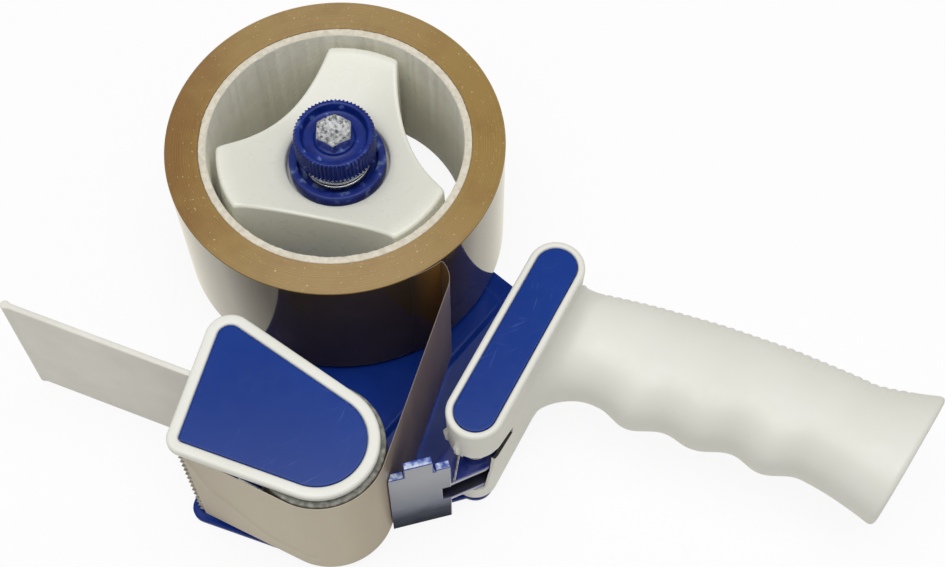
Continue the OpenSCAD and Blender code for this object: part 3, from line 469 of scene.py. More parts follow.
def hub_top_ring(inset, drop, share=1.0):
    """A ring on the hub's top, drawn in from its edge and sunk, or part of the way from the opening."""
    ring = []
    for x, y in hub_line(hub_edge_r, inset):
        far = math.hypot(x, y)
        r = hub_open_r + 0.6 + (far - hub_open_r - 0.6) * share
        ring.append((x * r / far, y * r / far, hub_dish(r) - drop))
    return ring


def share_of(part, whole):
    """A part as a share of a whole, kept between 0 and 1."""
    return min(1.0, max(0.0, part / whole))


def hub_side_ring(share, inset=0.0, sink=1.3):
    """A ring down the hub's sides, from its upper edge at 0 to its foot at 1."""
    ring = []
    for (x0, y0), (x1, y1) in zip(hub_line(hub_edge_r, inset), hub_line(hub_wide_r, inset)):
        high = hub_dish(math.hypot(x0, y0)) - sink
        z = high + (hub_low - high) * share
        widen = share_of(hub_taper_top - z, hub_taper_h)
        ring.append((x0 + (x1 - x0) * widen, y0 + (y1 - y0) * widen, z))
    return ring


hub_turns = [math.atan2(y, x) for x, y in hub_line(hub_edge_r, 0)]
hub_lip = [(hub_open_r, hub_rim_z - 0.6), (hub_open_r + 0.18, hub_rim_z - 0.18)]
hub_inside = [
    (hub_wall_r, 42.0), (hub_wall_r, hub_floor_low + 0.2), (hub_wall_r - 0.3, hub_floor_low),
    (hub_sleeve_r + 0.2, hub_floor_low), (hub_sleeve_r, hub_floor_low - 0.2), (hub_sleeve_r, hub_low + 0.4),
    (hub_sleeve_r - 0.4, hub_low), (6.3, hub_low), (hub_bore_r, hub_low + 0.3), (hub_bore_r, hub_floor - 0.2),
    (6.3, hub_floor), (hub_open_r - 0.3, hub_floor), (hub_open_r, hub_floor + 0.3),
]
hub_rings = [circle(r, z, hub_turns) for r, z in hub_lip]
hub_rings += [hub_top_ring(hub_round, 0, share) for share in (0.0, 0.2, 0.4, 0.6, 0.8, 0.93, 1.0)]
for inset in (0.9, 0.6, 0.35, 0.16, 0.04):
    hub_rings.append(hub_top_ring(inset, hub_round - math.sqrt(hub_round**2 - (hub_round - inset) ** 2)))
hub_rings += [hub_side_ring(share) for share in (0.0, 0.2, 0.4, 0.62, 0.8, 0.985)]
hub_rings += [hub_side_ring(1.0, 0.5), hub_side_ring(1.0, 1.9), hub_side_ring(0.985, 2.2)]
hub_rings += [hub_side_ring(share, 2.2, 4.5) for share in (0.62, 0.3, 0.0)]
hub_rings += [hub_top_ring(3.4, 2.2, share) for share in (1.0, 0.6, 0.3)]
hub_rings += [circle(r, z, hub_turns) for r, z in hub_inside]
hub = skin("core_hub_moulding", hub_rings, hub_ivory, loop=True)
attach(hub, "roll")
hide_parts("core_hub")

# Brake flange: a dished blue moulding keyed to the spindle, pressed on the hub by the spring.
# Pale patches are scattered over it: partly scuffs, partly a painted sheen on its rim.
flange_blue = PieceFinish("blue moulding")
# The palest stop paints the scuffs and the painted sheen.
flange_blue.paint((300, 4), (0.3, 12, 32, 108), (0.55, 22, 44, 128), (0.68, 104, 120, 164))
flange_blue.gloss((500, 4), 0.26, 0.44)
flange_blue.relief((1500, 3), 0.12, 0.0001)
flange_blue.fix("Specular IOR Level", 0.35)


def lathe(name, outline, finish, at=(0, 0), parts=144):
    """A turned piece from its closed section of radius and height."""
    return skin(name, [circle(r, z, turns_of(parts), at) for r, z in outline], finish, loop=True)


flange_low, flange_floor, flange_high = 40.5, 42.3, 46.3
flange_bore_r, flange_r = 6.05, 14.6
flange_section = [
    (flange_bore_r, flange_low), (flange_r, flange_low), (flange_r, flange_high),
    (12.2, flange_high), (12.0, flange_floor), (flange_bore_r, flange_floor),
]
flange = lathe("brake_flange_moulding", soften(flange_section, 0.55), flange_blue)
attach(flange, "frame")
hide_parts("brake_flange")

# Tension spring: an open coil of bright plated wire between the flange and the washer.
# The knob presses it, so on the dispenser its upper end moves with the washer; here the coil is laid at rest and
# not tied to the washer.
bright_zinc = PieceFinish("bright zinc")
spangle = bright_zinc.grain(800, 4)
bright_zinc.paint(spangle, (0.3, 168, 170, 172), (0.7, 222, 224, 226))
bright_zinc.gloss(spangle, 0.14, 0.32)
bright_zinc.relief(spangle, 0.2, 0.0001)
bright_zinc.fix("Metallic", 1.0)


def wire(name, route, r, finish, sides=12):
    """A round wire along a route of points, with its ends slightly domed."""
    route = [Vector(p) for p in route]
    last = len(route) - 1
    side = Vector((0, 0, 1))
    rings = []
    for i, p in enumerate(route):
        along = (route[min(i + 1, last)] - route[max(i - 1, 0)]).normalized()
        side = (side - along * side.dot(along)).normalized()
        other = along.cross(side)
        out = [math.cos(a) * side + math.sin(a) * other for a in turns_of(sides)]
        rings.append([p + r * d for d in out])
        if i in (0, last):
            tip = p + (-along if i == 0 else along) * 0.25 * r
            rings.insert(0 if i == 0 else len(rings), [tip + 0.6 * r * d for d in out])
    return skin(name, rings, finish)


coil_r, coil_wire_r = 9.5, 0.75
coil_low, coil_high, coil_turns = 43.1, 49.1, 2.75
coil_steps = 132
coil = []
for i in range(coil_steps + 1):
    a = 2 * math.pi * coil_turns * i / coil_steps
    coil.append((coil_r * math.cos(a), coil_r * math.sin(a), coil_low + (coil_high - coil_low) * i / coil_steps))
spring = wire("tension_coil", coil, coil_wire_r, bright_zinc)
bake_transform(spring)
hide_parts("tension_spring")

# Thrust washer: a plated steel washer, stamped with rounded edges, between the spring and the knob.
# It slides on the bolt as the knob is turned.
washer_low, washer_high = 49.9, 50.85


def plain_ring(bore_r, r, low, high):
    """The square section of a plain ring."""
    return [(bore_r, low), (r, low), (r, high), (bore_r, high)]


washer_section = plain_ring(bore_r=3.1, r=11, low=washer_low, high=washer_high)
washer = lathe("spring_washer", soften(washer_section, 0.3), bright_zinc, parts=96)
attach(washer, "washer")
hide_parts("thrust_washer")

# Tension knob: a blue moulding with a knurled side and a dished top, marked by handling.
# It is moulded round the bolt, so that both turn together.
knob_blue = PieceFinish("blue knob moulding")
knob_blue.paint((330, 2), (0.35, 12, 34, 110), (0.64, 22, 46, 130), (0.7, 88, 108, 172))
knob_blue.gloss((520, 4), 0.25, 0.42)
knob_blue.relief((1300, 3), 0.15, 0.0001)
knob_blue.fix("Specular IOR Level", 0.3)
knob_low, knob_high = 50.9, 59.9
knob_ridges, knob_groove = 60, 0.85
knob_section = [
    (3.05, knob_low, 0), (10.6, knob_low, 0), (11.3, knob_low + 0.15, 0.5), (12.0, knob_low + 0.6, 0.9),
    (12.1, knob_low + 1.2, 1), (12.1, knob_high - 1.2, 1), (12.05, knob_high - 0.6, 0.95),
    (11.85, knob_high - 0.25, 0.7), (11.5, knob_high - 0.06, 0.3), (11.1, knob_high, 0.05), (10.5, knob_high, 0),
    (10.2, knob_high - 0.08, 0), (9.98, knob_high - 0.3, 0), (9.85, knob_high - 0.8, 0),
    (9.5, knob_high - 2.4, 0), (9.35, knob_high - 2.75, 0), (8.95, knob_high - 2.9, 0),
    (6.5, knob_high - 2.9, 0), (6.25, knob_high - 2.8, 0), (6.1, knob_high - 2.5, 0), (5.9, knob_high - 2.1, 0),
    (5.6, knob_high - 2.0, 0), (3.05, knob_high - 2.0, 0),
]
knob_rings = []
for r, z, ridge in knob_section:
    ring = []
    for a in turns_of(knob_ridges * 8):
        near = r - ridge * knob_groove * (0.5 - 0.5 * math.cos(knob_ridges * a)) ** 0.8
        ring.append((near * math.cos(a), near * math.sin(a), z))
    knob_rings.append(ring)
knob = skin("tension_knob_moulding", knob_rings, knob_blue, loop=True, sharp=60)
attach(knob, "knob")
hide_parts("tension_knob")

# Knob bolt: a zinc-plated hexagon bolt, forged, with a chamfered head whose top is rough as forged.
# Its shank screws into the spindle.
forged = PieceFinish("forged zinc")
lumps = forged.grain(900, 4)
forged.paint(lumps, (0.34, 134, 136, 136), (0.46, 214, 216, 216), (0.62, 246, 247, 247))
forged.gloss(lumps, 0.22, 0.38)
forged.relief(lumps, 0.16, 0.0002)
forged.fix("Metallic", 1.0)
head_low, head_high, head_flats = 57.9, 61.9, 10.0
head_parts, chamfer_r = 96, 4.75
bolt_turns = [2 * math.pi * (i + 0.5) / head_parts + math.pi / 6 for i in range(head_parts)]


def hexagon(a):
    """Distance of the hexagon's side from its middle in a direction."""
    return head_flats / 2 / math.cos((a - math.pi / 6) % (math.pi / 3) - math.pi / 6)


flats = [hexagon(a) for a in bolt_turns]
shank = [(2.6, 29.9), (3.0, 30.4), (3.0, head_low)]
crown = [(4.72, head_high), (4.3, head_high), (3.0, head_high - 0.1), (1.2, head_high - 0.12)]
bolt_rings = [[(r, z)] * head_parts for r, z in shank]
bolt_rings += [
    [(min(r, 5.3), head_low) for r in flats],
    [(r, head_low + 0.4) for r in flats],
    [(r, head_high - 0.12 - max(0, r - chamfer_r) * 0.6) for r in flats],
    [(r * 0.985, head_high - 0.05 - max(0, r - chamfer_r) * 0.55) for r in flats],
]
bolt_rings += [[(r, z)] * head_parts for r, z in crown]
bolt_rings = [
    [(r * math.cos(a), r * math.sin(a), z) for (r, z), a in zip(ring, bolt_turns)] for ring in bolt_rings
]
bolt = skin("knob_hex_bolt", bolt_rings, forged, sharp=25)
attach(bolt, "knob")
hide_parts("knob_bolt")

# Tape core: a tube wound from grey-beige paper board and cut to the tape's width, so its edges are frayed.
# It sits on the hub's arms.
roll_low, roll_high = 5.0, 55.0


def radius_of(finish):
    """Distance from the roll's axis, in metres."""
    flat = finish.add("VectorMath")
    flat.operation = "MULTIPLY"
    finish.give(flat.inputs[0], finish.here())
    flat.inputs[1].default_value = (1, 1, 0)
    far = finish.add("VectorMath")
    far.operation = "LENGTH"
    finish.give(far.inputs[0], flat.outputs["Vector"])
    return far.outputs["Value"]


def frayed(ring, rough):
    """A ring with its edge roughened by fibres, the same each time."""
    made = []
    for x, y, z in ring:
        pull = noise.noise(Vector((x * 1.1, y * 1.1, z * 0.4))) + 0.6 * noise.noise(Vector((x * 3.1, y * 3.1, z)))
        share = 1 + rough * pull / math.hypot(x, y)
        made.append((x * share, y * share, z + 0.45 * rough * noise.noise(Vector((x * 2.3, y * 2.3, 7)))))
    return made


board = PieceFinish("paper board")
fibre = board.grain(700, 5)
cut_edge = board.tints(fibre, (0.3, 208, 199, 180), (0.7, 232, 225, 208))
liner = board.tints((160, 5), (0.3, 230, 227, 212), (0.7, 237, 235, 221))
board.fix("Base Color", board.blend(board.spread(radius_of(board), 0.0381, 0.0384), liner, cut_edge))
board.relief(fibre, 0.5, 0.0003)
board.fix("Roughness", 0.8)
core_turns = turns_of(420)
core_section = [
    (38.0, 5.4, 0), (38.15, 5.1, 0.1), (38.5, 5.1, 0.1), (39.9, 5.1, 0.1), (40.25, 5.15, 0.05), (40.38, 5.5, 0),
    (40.38, 54.4, 0), (40.3, 54.75, 0.12), (40.05, 54.88, 0.25), (39.6, 54.85, 0.2), (38.9, 54.85, 0.2),
    (38.45, 54.85, 0.25), (38.18, 54.7, 0.2), (38.02, 54.3, 0),
]
core_rings = [frayed(circle(r, z, core_turns), rough) for r, z, rough in core_section]
core = skin("board_core", core_rings, board, loop=True, sharp=50)
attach(core, "roll")
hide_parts("tape_core")

# Wound tape: some hundred layers of brown film, wound tight and glossy round the outside.
# The cut edges of the layers show on both faces as fine rings, browner and darker towards the left.
wound_in_r, wound_edge_r, wound_out_r = 40.45, 50.05, 50.19
layer_step, layer_wander = 0.16, 0.04


def place_along(finish, axis):
    """The place on a piece along one axis, in metres."""
    return finish.add("SeparateXYZ", Vector=finish.here()).outputs[axis]


wound = PieceFinish("wound brown film")
film_cloud = wound.grain(40, 3)
wound.paint(film_cloud, (0.3, 74, 62, 51), (0.7, 84, 72, 60))
wound.gloss(film_cloud, 0.07, 0.12)
wound.fix("IOR", 1.3)
wound.fix("Coat Weight", wound.spread(wound.add("LayerWeight").outputs["Facing"], 0.63, 0.74))
wound.fix("Coat IOR", 1.55)
wound.fix("Coat Roughness", 0.04)
cut_film = PieceFinish("cut edges of brown film")
layers = cut_film.add("TexNoise")
layers.noise_dimensions = "1D"
for name, value in (("Scale", 3600), ("Detail", 3), ("W", radius_of(cut_film))):
    cut_film.give(layers.inputs[name], value)
layer = layers.outputs["Fac"]
# Towards the left of the roll the rings go browner and darker, along a wavering line.
ring_tint = cut_film.tints(layer, (0.25, 144, 113, 51), (0.5, 154, 123, 61), (0.75, 164, 134, 72))
left_tint = cut_film.tints(layer, (0.25, 122, 86, 34), (0.75, 146, 108, 52))
left_wobble = cut_film.spread((90, 4), 0.3, 0.7, -0.4, 0.4)
left_share = cut_film.join(cut_film.spread(place_along(cut_film, "X"), -0.03, -0.047), left_wobble, "ADD")
specks = cut_film.spread((1300, 2), 0.68, 0.76)
dust = colour(206, 186, 146)
cut_film.fix("Base Color", cut_film.blend(specks, cut_film.blend(left_share, ring_tint, left_tint), dust))
cut_film.gloss((400, 4), 0.4, 0.5)
round_axis = cut_film.add("Tangent")
round_axis.direction_type = "RADIAL"
round_axis.axis = "Z"
cut_film.fix("Tangent", round_axis.outputs["Tangent"])
cut_film.fix("Anisotropic", 0.75)
cut_film.fix("Anisotropic Rotation", 0.25)
cut_film.fix("IOR", 1.68)


def refinish(piece, finish, chosen):
    """Gives the chosen faces of a piece another finish."""
    piece.data.materials.append(finish.material)
    for face in piece.data.polygons:
        if chosen(face):
            face.material_index = len(piece.data.materials) - 1


def uneven(i, face):
    """How far one layer stands out of a face of the roll."""
    return layer_wander * noise.noise(Vector((2.7 * i, face, 0)))


wound_section = [(wound_in_r, roll_low + 0.1)]
wound_section += [(wound_in_r + layer_step * i, roll_low + 0.12 + uneven(i, 3)) for i in range(1, 60)]
wound_section += [(wound_edge_r, roll_low + 0.1)]
side_heights = (roll_low + 0.3, roll_low + 0.5, 20, 38, roll_high - 0.5, roll_high - 0.3)
wound_section += [(wound_out_r, z) for z in side_heights]
wound_section += [(wound_edge_r, roll_high - 0.08)]
wound_section += [(49.9 - layer_step * i, roll_high - 0.14 + uneven(i, 9)) for i in range(59)]
wound_section += [(wound_in_r, roll_high - 0.15)]
wound_rings = [circle(r, z, turns_of(256)) for r, z in wound_section]
winding = skin("wound_tape", wound_rings, wound, loop=True, sharp=70)
refinish(winding, cut_film, lambda face: math.hypot(face.center.x, face.center.y) < 0.05015)
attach(winding, "roll")
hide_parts("tape_winding")

# Front roller: a moulded core with a rubber sleeve that the tape runs over, held between plain washers.
# The sleeve is ground rubber, mottled with dust and adhesive.
rubber = PieceFinish("grey roller rubber")
rubber.paint((640, 5), (0.3, 92, 92, 86), (0.5, 126, 126, 118), (0.72, 162, 162, 152))
rubber.relief((1100, 4), 0.6, 0.0003)
rubber.fix("Roughness", 0.62)
sleeve_section = plain_ring(bore_r=13.5, r=18, low=roll_low, high=roll_high)
sleeve = lathe("rubber_sleeve", soften(sleeve_section, 0.7), rubber, roller_axis, 128)
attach(sleeve, "roller")
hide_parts("roller_sleeve")

dark_plastic = PieceFinish("dark moulding")
speck = dark_plastic.grain(700, 4)
dark_plastic.paint(speck, (0.3, 58, 60, 64), (0.7, 78, 80, 84))
dark_plastic.gloss(speck, 0.5, 0.65)
dress("roller_core", dark_plastic)

pale = PieceFinish("pale moulding")
pale.paint((70, 4), (0.3, 226, 224, 213), (0.7, 233, 231, 221))
pale.gloss((420, 4), 0.36, 0.5)
pale.relief((1200, 3), 0.1, 0.0001)
dress("roller_washers", pale)

# Free tape: one layer of the brown film, peeled off the roll and run over the roller to the blade.
# Its sticky side is out; it has a fold where it peels off and a slanting crease in front.
film = PieceFinish("sticky film")
streak = film.grain(120, 4, (1, 1, 0.25))
# Towards the right of the roller, where the film curves away, it is painted darker brown: painted shade. On the
# run between the roll and the roller it is greyer.
front_tint = film.tints(streak, (0.3, 191, 178, 153), (0.7, 200, 188, 165))
curve_shade_tint = film.tints(streak, (0.3, 164, 146, 119), (0.7, 173, 156, 130))
run_tint = film.tints(streak, (0.3, 150, 133, 123), (0.7, 160, 143, 133))
front_tint = film.blend(film.spread(place_along(film, "X"), 0.004, 0.0165), front_tint, curve_shade_tint)
film.fix("Base Color", film.blend(film.spread(place_along(film, "Y"), -0.106, -0.084), front_tint, run_tint))
film.gloss(streak, 0.28, 0.4)
film_back = PieceFinish("film backing")
streak = film_back.grain(150, 4, (1, 1, 0.25))
film_back.paint(streak, (0.3, 122, 92, 44), (0.7, 150, 118, 66))
film_back.gloss(streak, 0.14, 0.26)
# Where the film still lies on the roll before the fold, it is painted from dark brown low down and away from the
# fold to amber near the fold and the top: a painted glow of light through the film.
fold_glow = PieceFinish("painted glow of the film at the fold")
to_fold = fold_glow.spread(place_along(fold_glow, "X"), 0.0235, 0.0316)
to_top = fold_glow.spread(place_along(fold_glow, "Z"), 0.004, 0.05)
fold_glow.paint(fold_glow.join(to_fold, to_top, "MULTIPLY"), (0.0, 79, 67, 56), (1.0, 176, 128, 58))
fold_glow.fix("Roughness", 0.12)
fold_glow.fix("IOR", 1.3)


def towards(degrees):
    """A direction in the plate's plane."""
    return np.array([math.cos(math.radians(degrees)), math.sin(math.radians(degrees))])


def bend_along(centre, r, start, end, step=0.6):
    """Points and outward directions along a bend."""
    parts = max(3, math.ceil(abs(math.radians(end - start)) * r / step))
    turns = [start + (end - start) * i / parts for i in range(parts + 1)]
    return [(np.array(centre) + r * towards(a), towards(a)) for a in turns]


def straight(first, last, step=0.7):
    """Points and outward directions between two, without the two."""
    parts = max(2, math.ceil(np.linalg.norm(last[0] - first[0]) / step))
    return [[a + (b - a) * i / parts for a, b in zip(first, last)] for i in range(1, parts)]


peel_turn, peel_r, fold_r, bow_r, wrap_r = -52.0, 50.65, 0.7, 8.3, 18.45
stuck_turn, stuck_sink, cut_run = 11, 0.0098, 32.4
fold_at = (peel_r + fold_r) * towards(peel_turn)
bow_at = fold_at + (fold_r - bow_r) * towards(peel_turn + 90)
to_roller = np.array(roller_axis) - bow_at
heading = math.atan2(to_roller[1], to_roller[0])
touch = math.degrees(heading + math.acos((bow_r - wrap_r) / np.linalg.norm(to_roller)))
stuck = bend_along((0, 0), peel_r, peel_turn - stuck_turn, peel_turn)
stuck = [(p * (1 - stuck_sink * (1 - i / (len(stuck) - 1)) ** 2), -out) for i, (p, out) in enumerate(stuck)]
fold = bend_along(fold_at, fold_r, peel_turn + 180, peel_turn + 90, 0.12)
bow = bend_along(bow_at, bow_r, peel_turn + 90, touch)
wrap = bend_along(roller_axis, wrap_r, touch, tape_turn - 270)
cut_end = (wrap[-1][0] + cut_run * towards(tape_turn), wrap[-1][1])
film_path = stuck + fold[1:] + bow[1:] + straight(bow[-1], wrap[0]) + wrap
film_path += straight(wrap[-1], cut_end) + [cut_end]
film_rows = [roll_low + (roll_high - roll_low) * i / 80 for i in range(81)]
gone = [0.0]
for (a, _), (b, _) in zip(film_path, film_path[1:]):
    gone.append(gone[-1] + float(np.linalg.norm(b - a)))
crease = [(1.1, 48.5), (3.6, 39.1), (5.7, 31.9), (11.4, 26.6), (16.9, 19.1), (22.7, 13.6)]
crease += [(33.5, 13.3), (37, 13.0)]
crease_h, crease_w = 0.32, 1.1
film_half_t = 0.06


def film_lift(along, z):
    """How far the film stands off its path at a distance from its cut end: a sharp crease that slants down."""
    near = 99.0
    for (a0, z0), (a1, z1) in zip(crease, crease[1:]):
        f = share_of((along - a0) * (a1 - a0) + (z - z0) * (z1 - z0), (a1 - a0) ** 2 + (z1 - z0) ** 2)
        near = min(near, math.hypot(along - a0 - f * (a1 - a0), z - z0 - f * (z1 - z0)))
    return crease_h * math.exp(-near / crease_w)


film_points = []
for half in (film_half_t, -film_half_t):
    for (p, out), g in zip(film_path, gone):
        for z in film_rows:
            q = p + out * (half + film_lift(gone[-1] - g, z))
            film_points.append((q[0], q[1], z))
rows, steps = len(film_rows), len(film_path)
back = rows * steps
film_faces = []
for side in (0, back):
    for i in range(steps - 1):
        for k in range(side + i * rows, side + (i + 1) * rows - 1):
            film_faces.append((k, k + rows, k + rows + 1, k + 1))
for k in range(0, back - rows, rows):
    film_faces.append((k, back + k, back + k + rows, k + rows))
for k in range(rows - 1, back - 1, rows):
    film_faces.append((k, k + rows, back + k + rows, back + k))
film_faces += [(k, k + 1, back + k + 1, back + k) for k in range(rows - 1)]
film_faces += [(k, back + k, back + k + 1, k + 1) for k in range(back - rows, back - 1)]
free_tape = set_mesh("free_tape", film_points, film_faces, [film, film_back, fold_glow])
side_faces = (steps - 1) * (rows - 1)
# Faces that lie on the roll before the fold get the painted glow, and the others get the film or its backing.
for i, face in enumerate(free_tape.data.polygons[: 2 * side_faces]):
    on_roll = i % side_faces // (rows - 1) < len(stuck) - 1
    face.material_index = 2 if on_roll else i // side_faces
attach(free_tape, "frame")
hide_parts("tape_web")

# Front cover: an ivory moulding with a soft-edged rim, screwed to the roller's shaft and a post.
# A sunk panel in its top takes the blue inlay.
cover_ivory = PieceFinish("ivory moulding")
cover_ivory.paint((38, 3), (0.3, 230, 230, 220), (0.7, 238, 238, 230))
cover_ivory.gloss((350, 4), 0.32, 0.46)
cover_ivory.relief((1000, 3), 0.08, 0.0001)
cover_plan = [cover_corner, (-36.8, -94.3, 4.8), (*roller_axis, 16.6)]
cover_low, cover_panel, cover_high = 55.9, 57.4, 58.5
cover_levels = foot_edge(cover_low, 0.4) + head_edge(cover_high, 0.9, 0, 6)[:-1]
cover_levels += [(cover_high, 2.5), (58.42, 2.85), (58.2, 3.12), (57.9, 3.25)]
cover_levels += [(cover_panel, 3.3), (cover_panel, 3.6)]
cover = slab("front_cover_moulding", cover_plan, cover_levels, cover_ivory, 4)
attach(cover, "frame")
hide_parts("front_cover")

# Cover inlay: a thin blue moulding pressed into the cover over its screws.
# Its satin face carries light scratches from use.
inlay_blue = PieceFinish("scratched blue inlay")
hairs = []
for turn, scale in ((0.5, 95), (-0.35, 120), (1.2, 80)):
    hairs.append(inlay_blue.spread(inlay_blue.grain(scale, 6, (1, 11, 1), turn), 0.665, 0.775))
marks = inlay_blue.join(inlay_blue.join(hairs[0], hairs[1], "MAXIMUM"), hairs[2], "MAXIMUM")
patch = inlay_blue.spread((30, 2), 0.4, 0.7)
ground = inlay_blue.tints((26, 3), (0.3, 16, 51, 130), (0.7, 22, 58, 140))
scratched = inlay_blue.blend(inlay_blue.join(marks, patch, "MULTIPLY"), ground, colour(70, 96, 164))
inlay_blue.fix("Base Color", scratched)
inlay_blue.gloss((300, 5), 0.17, 0.23)
inlay_blue.relief(marks, 0.15, 0.00005)
inlay_blue.fix("Specular IOR Level", 0.2)
inlay_gap = 3.42
inlay_levels = foot_edge(57.42, 0.1, inlay_gap) + head_edge(58.3, 0.25, inlay_gap)
cover_inlay = slab("cover_inlay_panel", cover_plan, inlay_levels, inlay_blue, 4)
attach(cover_inlay, "frame")
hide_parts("cover_inlay")

# Screws and rivets: zinc-plated screws under the inlay and in the handle, and rivets in the blade's bracket.
# They are bought parts, set flush with the plate's back.
for node in ("cover_screws", "handle_screws", "blade_rivets", "bracket_rivets"):
    dress(node, bright_zinc)

# Blade and bracket: a serrated strip of spring steel riveted to a folded steel bracket.
# Both are rolled strip, so their grain runs along them.
strip = PieceFinish("rolled steel strip")
lines = strip.grain(60, 5, (1, 1, 40))
strip.paint(lines, (0.3, 150, 152, 152), (0.7, 206, 207, 206))
strip.gloss(lines, 0.2, 0.38)
strip.relief(lines, 0.2, 0.0001)
strip.fix("Metallic", 1.0)
dress("blade_bracket", strip)

spring_steel = PieceFinish("dark spring steel")
lines = spring_steel.grain(300, 4, (1, 1, 6))
spring_steel.paint(lines, (0.35, 84, 80, 70), (0.65, 168, 164, 152))
spring_steel.gloss(lines, 0.2, 0.34)
spring_steel.fix("Metallic", 1.0)


def prism(name, outline, levels, place, finish):
    """A straight solid from its outline, between two levels, set in its place."""
    return skin(name, [[place(a, b, level) for a, b in outline] for level in levels], finish)


def on_edge(place):
    """The same way for an outline that stands upright, drawn along and up."""
    return lambda x, z, y: place(x, y, z)


blade_low, blade_high, blade_teeth = 3.8, 55.3, 16
blade_inner, blade_outer = 17.2, 18.0
blade_root, tooth_root, tooth_tip = 18.5, 32.0, 35.0
rivet_along, rivet_heights = 24.5, (16.675, 42.425)
tooth_step = (blade_high - blade_low) / blade_teeth
blade_line = [(blade_root, blade_low)]
for i in range(blade_teeth):
    z = blade_low + tooth_step * i
    blade_line += [(tooth_root, z), (tooth_tip, z + 0.12 * tooth_step), (tooth_tip - 0.2, z + 0.24 * tooth_step)]
blade_line += [(tooth_root, blade_high), (blade_root, blade_high)]
blade = prism("serrated_blade", blade_line, (blade_inner, blade_outer), on_edge(by_blade), spring_steel)
bores = []
for z in rivet_heights:
    rim = [(rivet_along + rivet_hole_r * math.cos(a), z + rivet_hole_r * math.sin(a)) for a in turns_of(32)]
    bores.append(prism("bore", rim, (blade_inner - 0.7, blade_outer + 0.7), on_edge(by_blade), spring_steel))
combine(blade, bores, "DIFFERENCE")
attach(blade, "frame")
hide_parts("blade")

# Wiper: a flap of pale moulded plastic that smooths the tape down, with a bead at its root and its tip.
# The bead snaps into a holder between plate and cover.
wiper_l, wiper_half_t, root_bead_r, tip_bead_r = 68.8, 0.9, 2.1, 1.3
wiper_low, wiper_high = 3.6, 54.7
by_wiper = set_at((-28.0, -77.9), math.radians(158.4))
dress("wiper_holder", cover_ivory)


def wiper_line(inset):
    """The wiper's plan, drawn in by a width."""
    upper = []
    for i in range(13):
        a = math.pi - (math.pi - 0.5) * i / 12
        upper.append(((root_bead_r - inset) * math.cos(a), (root_bead_r - inset) * math.sin(a)))
    upper.append((3.2, wiper_half_t + 0.03 - inset))
    upper += [(x, wiper_half_t - inset) for x in (12, 30, 50, 65.6)]
    upper += [(66.2, wiper_half_t + 0.05 - inset), (66.7, wiper_half_t + 0.2 - inset)]
    for i in range(13):
        a = math.radians(100) - math.radians(100) * i / 12
        r = tip_bead_r - inset
        upper.append((wiper_l - tip_bead_r + r * math.cos(a), r * math.sin(a)))
    return upper + [(x, -y) for x, y in upper[-2:0:-1]]


wiper_levels = foot_edge(wiper_low, 0.4) + head_edge(wiper_high, 0.4)
wiper = skin("wiper_blade", [[by_wiper(x, y, z) for x, y in wiper_line(d)] for z, d in wiper_levels], pale)
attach(wiper, "wiper")
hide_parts("wiper_flap")

# Handle: one ivory moulding, a block that stands on the plate and a hollow grip with finger swells.
# Its palm side is ribbed, a slot in the block's end takes the lever, and its top is sunk for the inlay.
handle_ivory = PieceFinish("ivory handle moulding")
handle_ivory.paint((30, 3), (0.3, 227, 226, 215), (0.7, 234, 233, 225))
handle_ivory.gloss((320, 4), 0.36, 0.5)
handle_ivory.relief((1100, 3), 0.1, 0.0001)
grip_turn = math.radians(-21.4)
grip_mid_z, grip_l = 30.0, 105.3
grip_start = np.array(by_block(41.25, -6.48, 0)[:2])
grip_along = np.array([math.cos(grip_turn), math.sin(grip_turn)])
grip_across = np.array([-math.sin(grip_turn), math.cos(grip_turn)])
rib_step, rib_h = 2.58, 0.5


def palm_edge(s):
    """Reach of the palm side at a distance along the grip."""
    flare = max(0.0, s - 90.0) / 18.5
    return 20 - 5 * ((s - 54) / 54) ** 2 + 6.5 * flare**1.3


def finger_edge(s):
    """Reach of the finger side at a distance along the grip."""
    swell = math.cos(2 * math.pi * (s - 27) / 20) if 17 < s < 77 else -1.0
    fore = math.cos(math.pi / 2 * (s - 31) / 16) if abs(s - 31) < 16 else 0.0
    neck = max(0.0, 14 - s) / 14
    flare = max(0.0, s - 77) / 23.6
    return 15.8 + 1.3 * swell + 1.1 * fore + 7.84 * neck**2 + 5.9 * flare**1.4


def half_thick(s):
    """Half of the grip's thickness at a distance along it."""
    neck = max(0.0, 14 - s) / 14
    end = max(0.0, s - 88.3) / 17
    return 14 + 3 * neck**2 + 1.2 * end**2


def fillet(away, r):
    """How far a fillet of a radius stands out at a distance from the wall that it runs into."""
    away = max(0.0, away)
    return r - math.sqrt(r * r - (r - away) ** 2) if away < r else 0.0


def power(value, exponent):
    """A power that keeps the sign."""
    return math.copysign(abs(value) ** exponent, value)


def grip_ring(s, inset=0.0, sides=88):
    """A ring of the grip in a slanted plane, with the ribs of the palm side."""
    settle = share_of(s - 2, 36)
    slant = 0.107 + 0.103 * settle * settle * (3 - 2 * settle)
    away = s - 1.0
    at_palm = s + 20 * slant
    palm = palm_edge(at_palm) - inset
    finger = finger_edge(s - 15.8 * slant) - inset + fillet(away, 3.0)
    thick = half_thick(s) - inset + fillet(away, 6.0)
    ribbed = share_of(at_palm - 7, 3) * share_of(101.5 - at_palm, 2)
    rib = rib_h * ribbed * (abs(math.cos(math.pi * at_palm / rib_step)) - 0.55)
    mid, wide = (palm - finger) / 2, (palm + finger) / 2
    ring = []
    for a in turns_of(sides):
        share = share_of(math.cos(a) - 0.5, 0.3)
        t = mid + wide * power(math.cos(a), 2 / 2.4) + rib * share
        z = grip_mid_z + thick * power(math.sin(a), 2 / 2.4)
        p = grip_start + (s + slant * t) * grip_along + t * grip_across
        ring.append((p[0], p[1], z))
    return ring


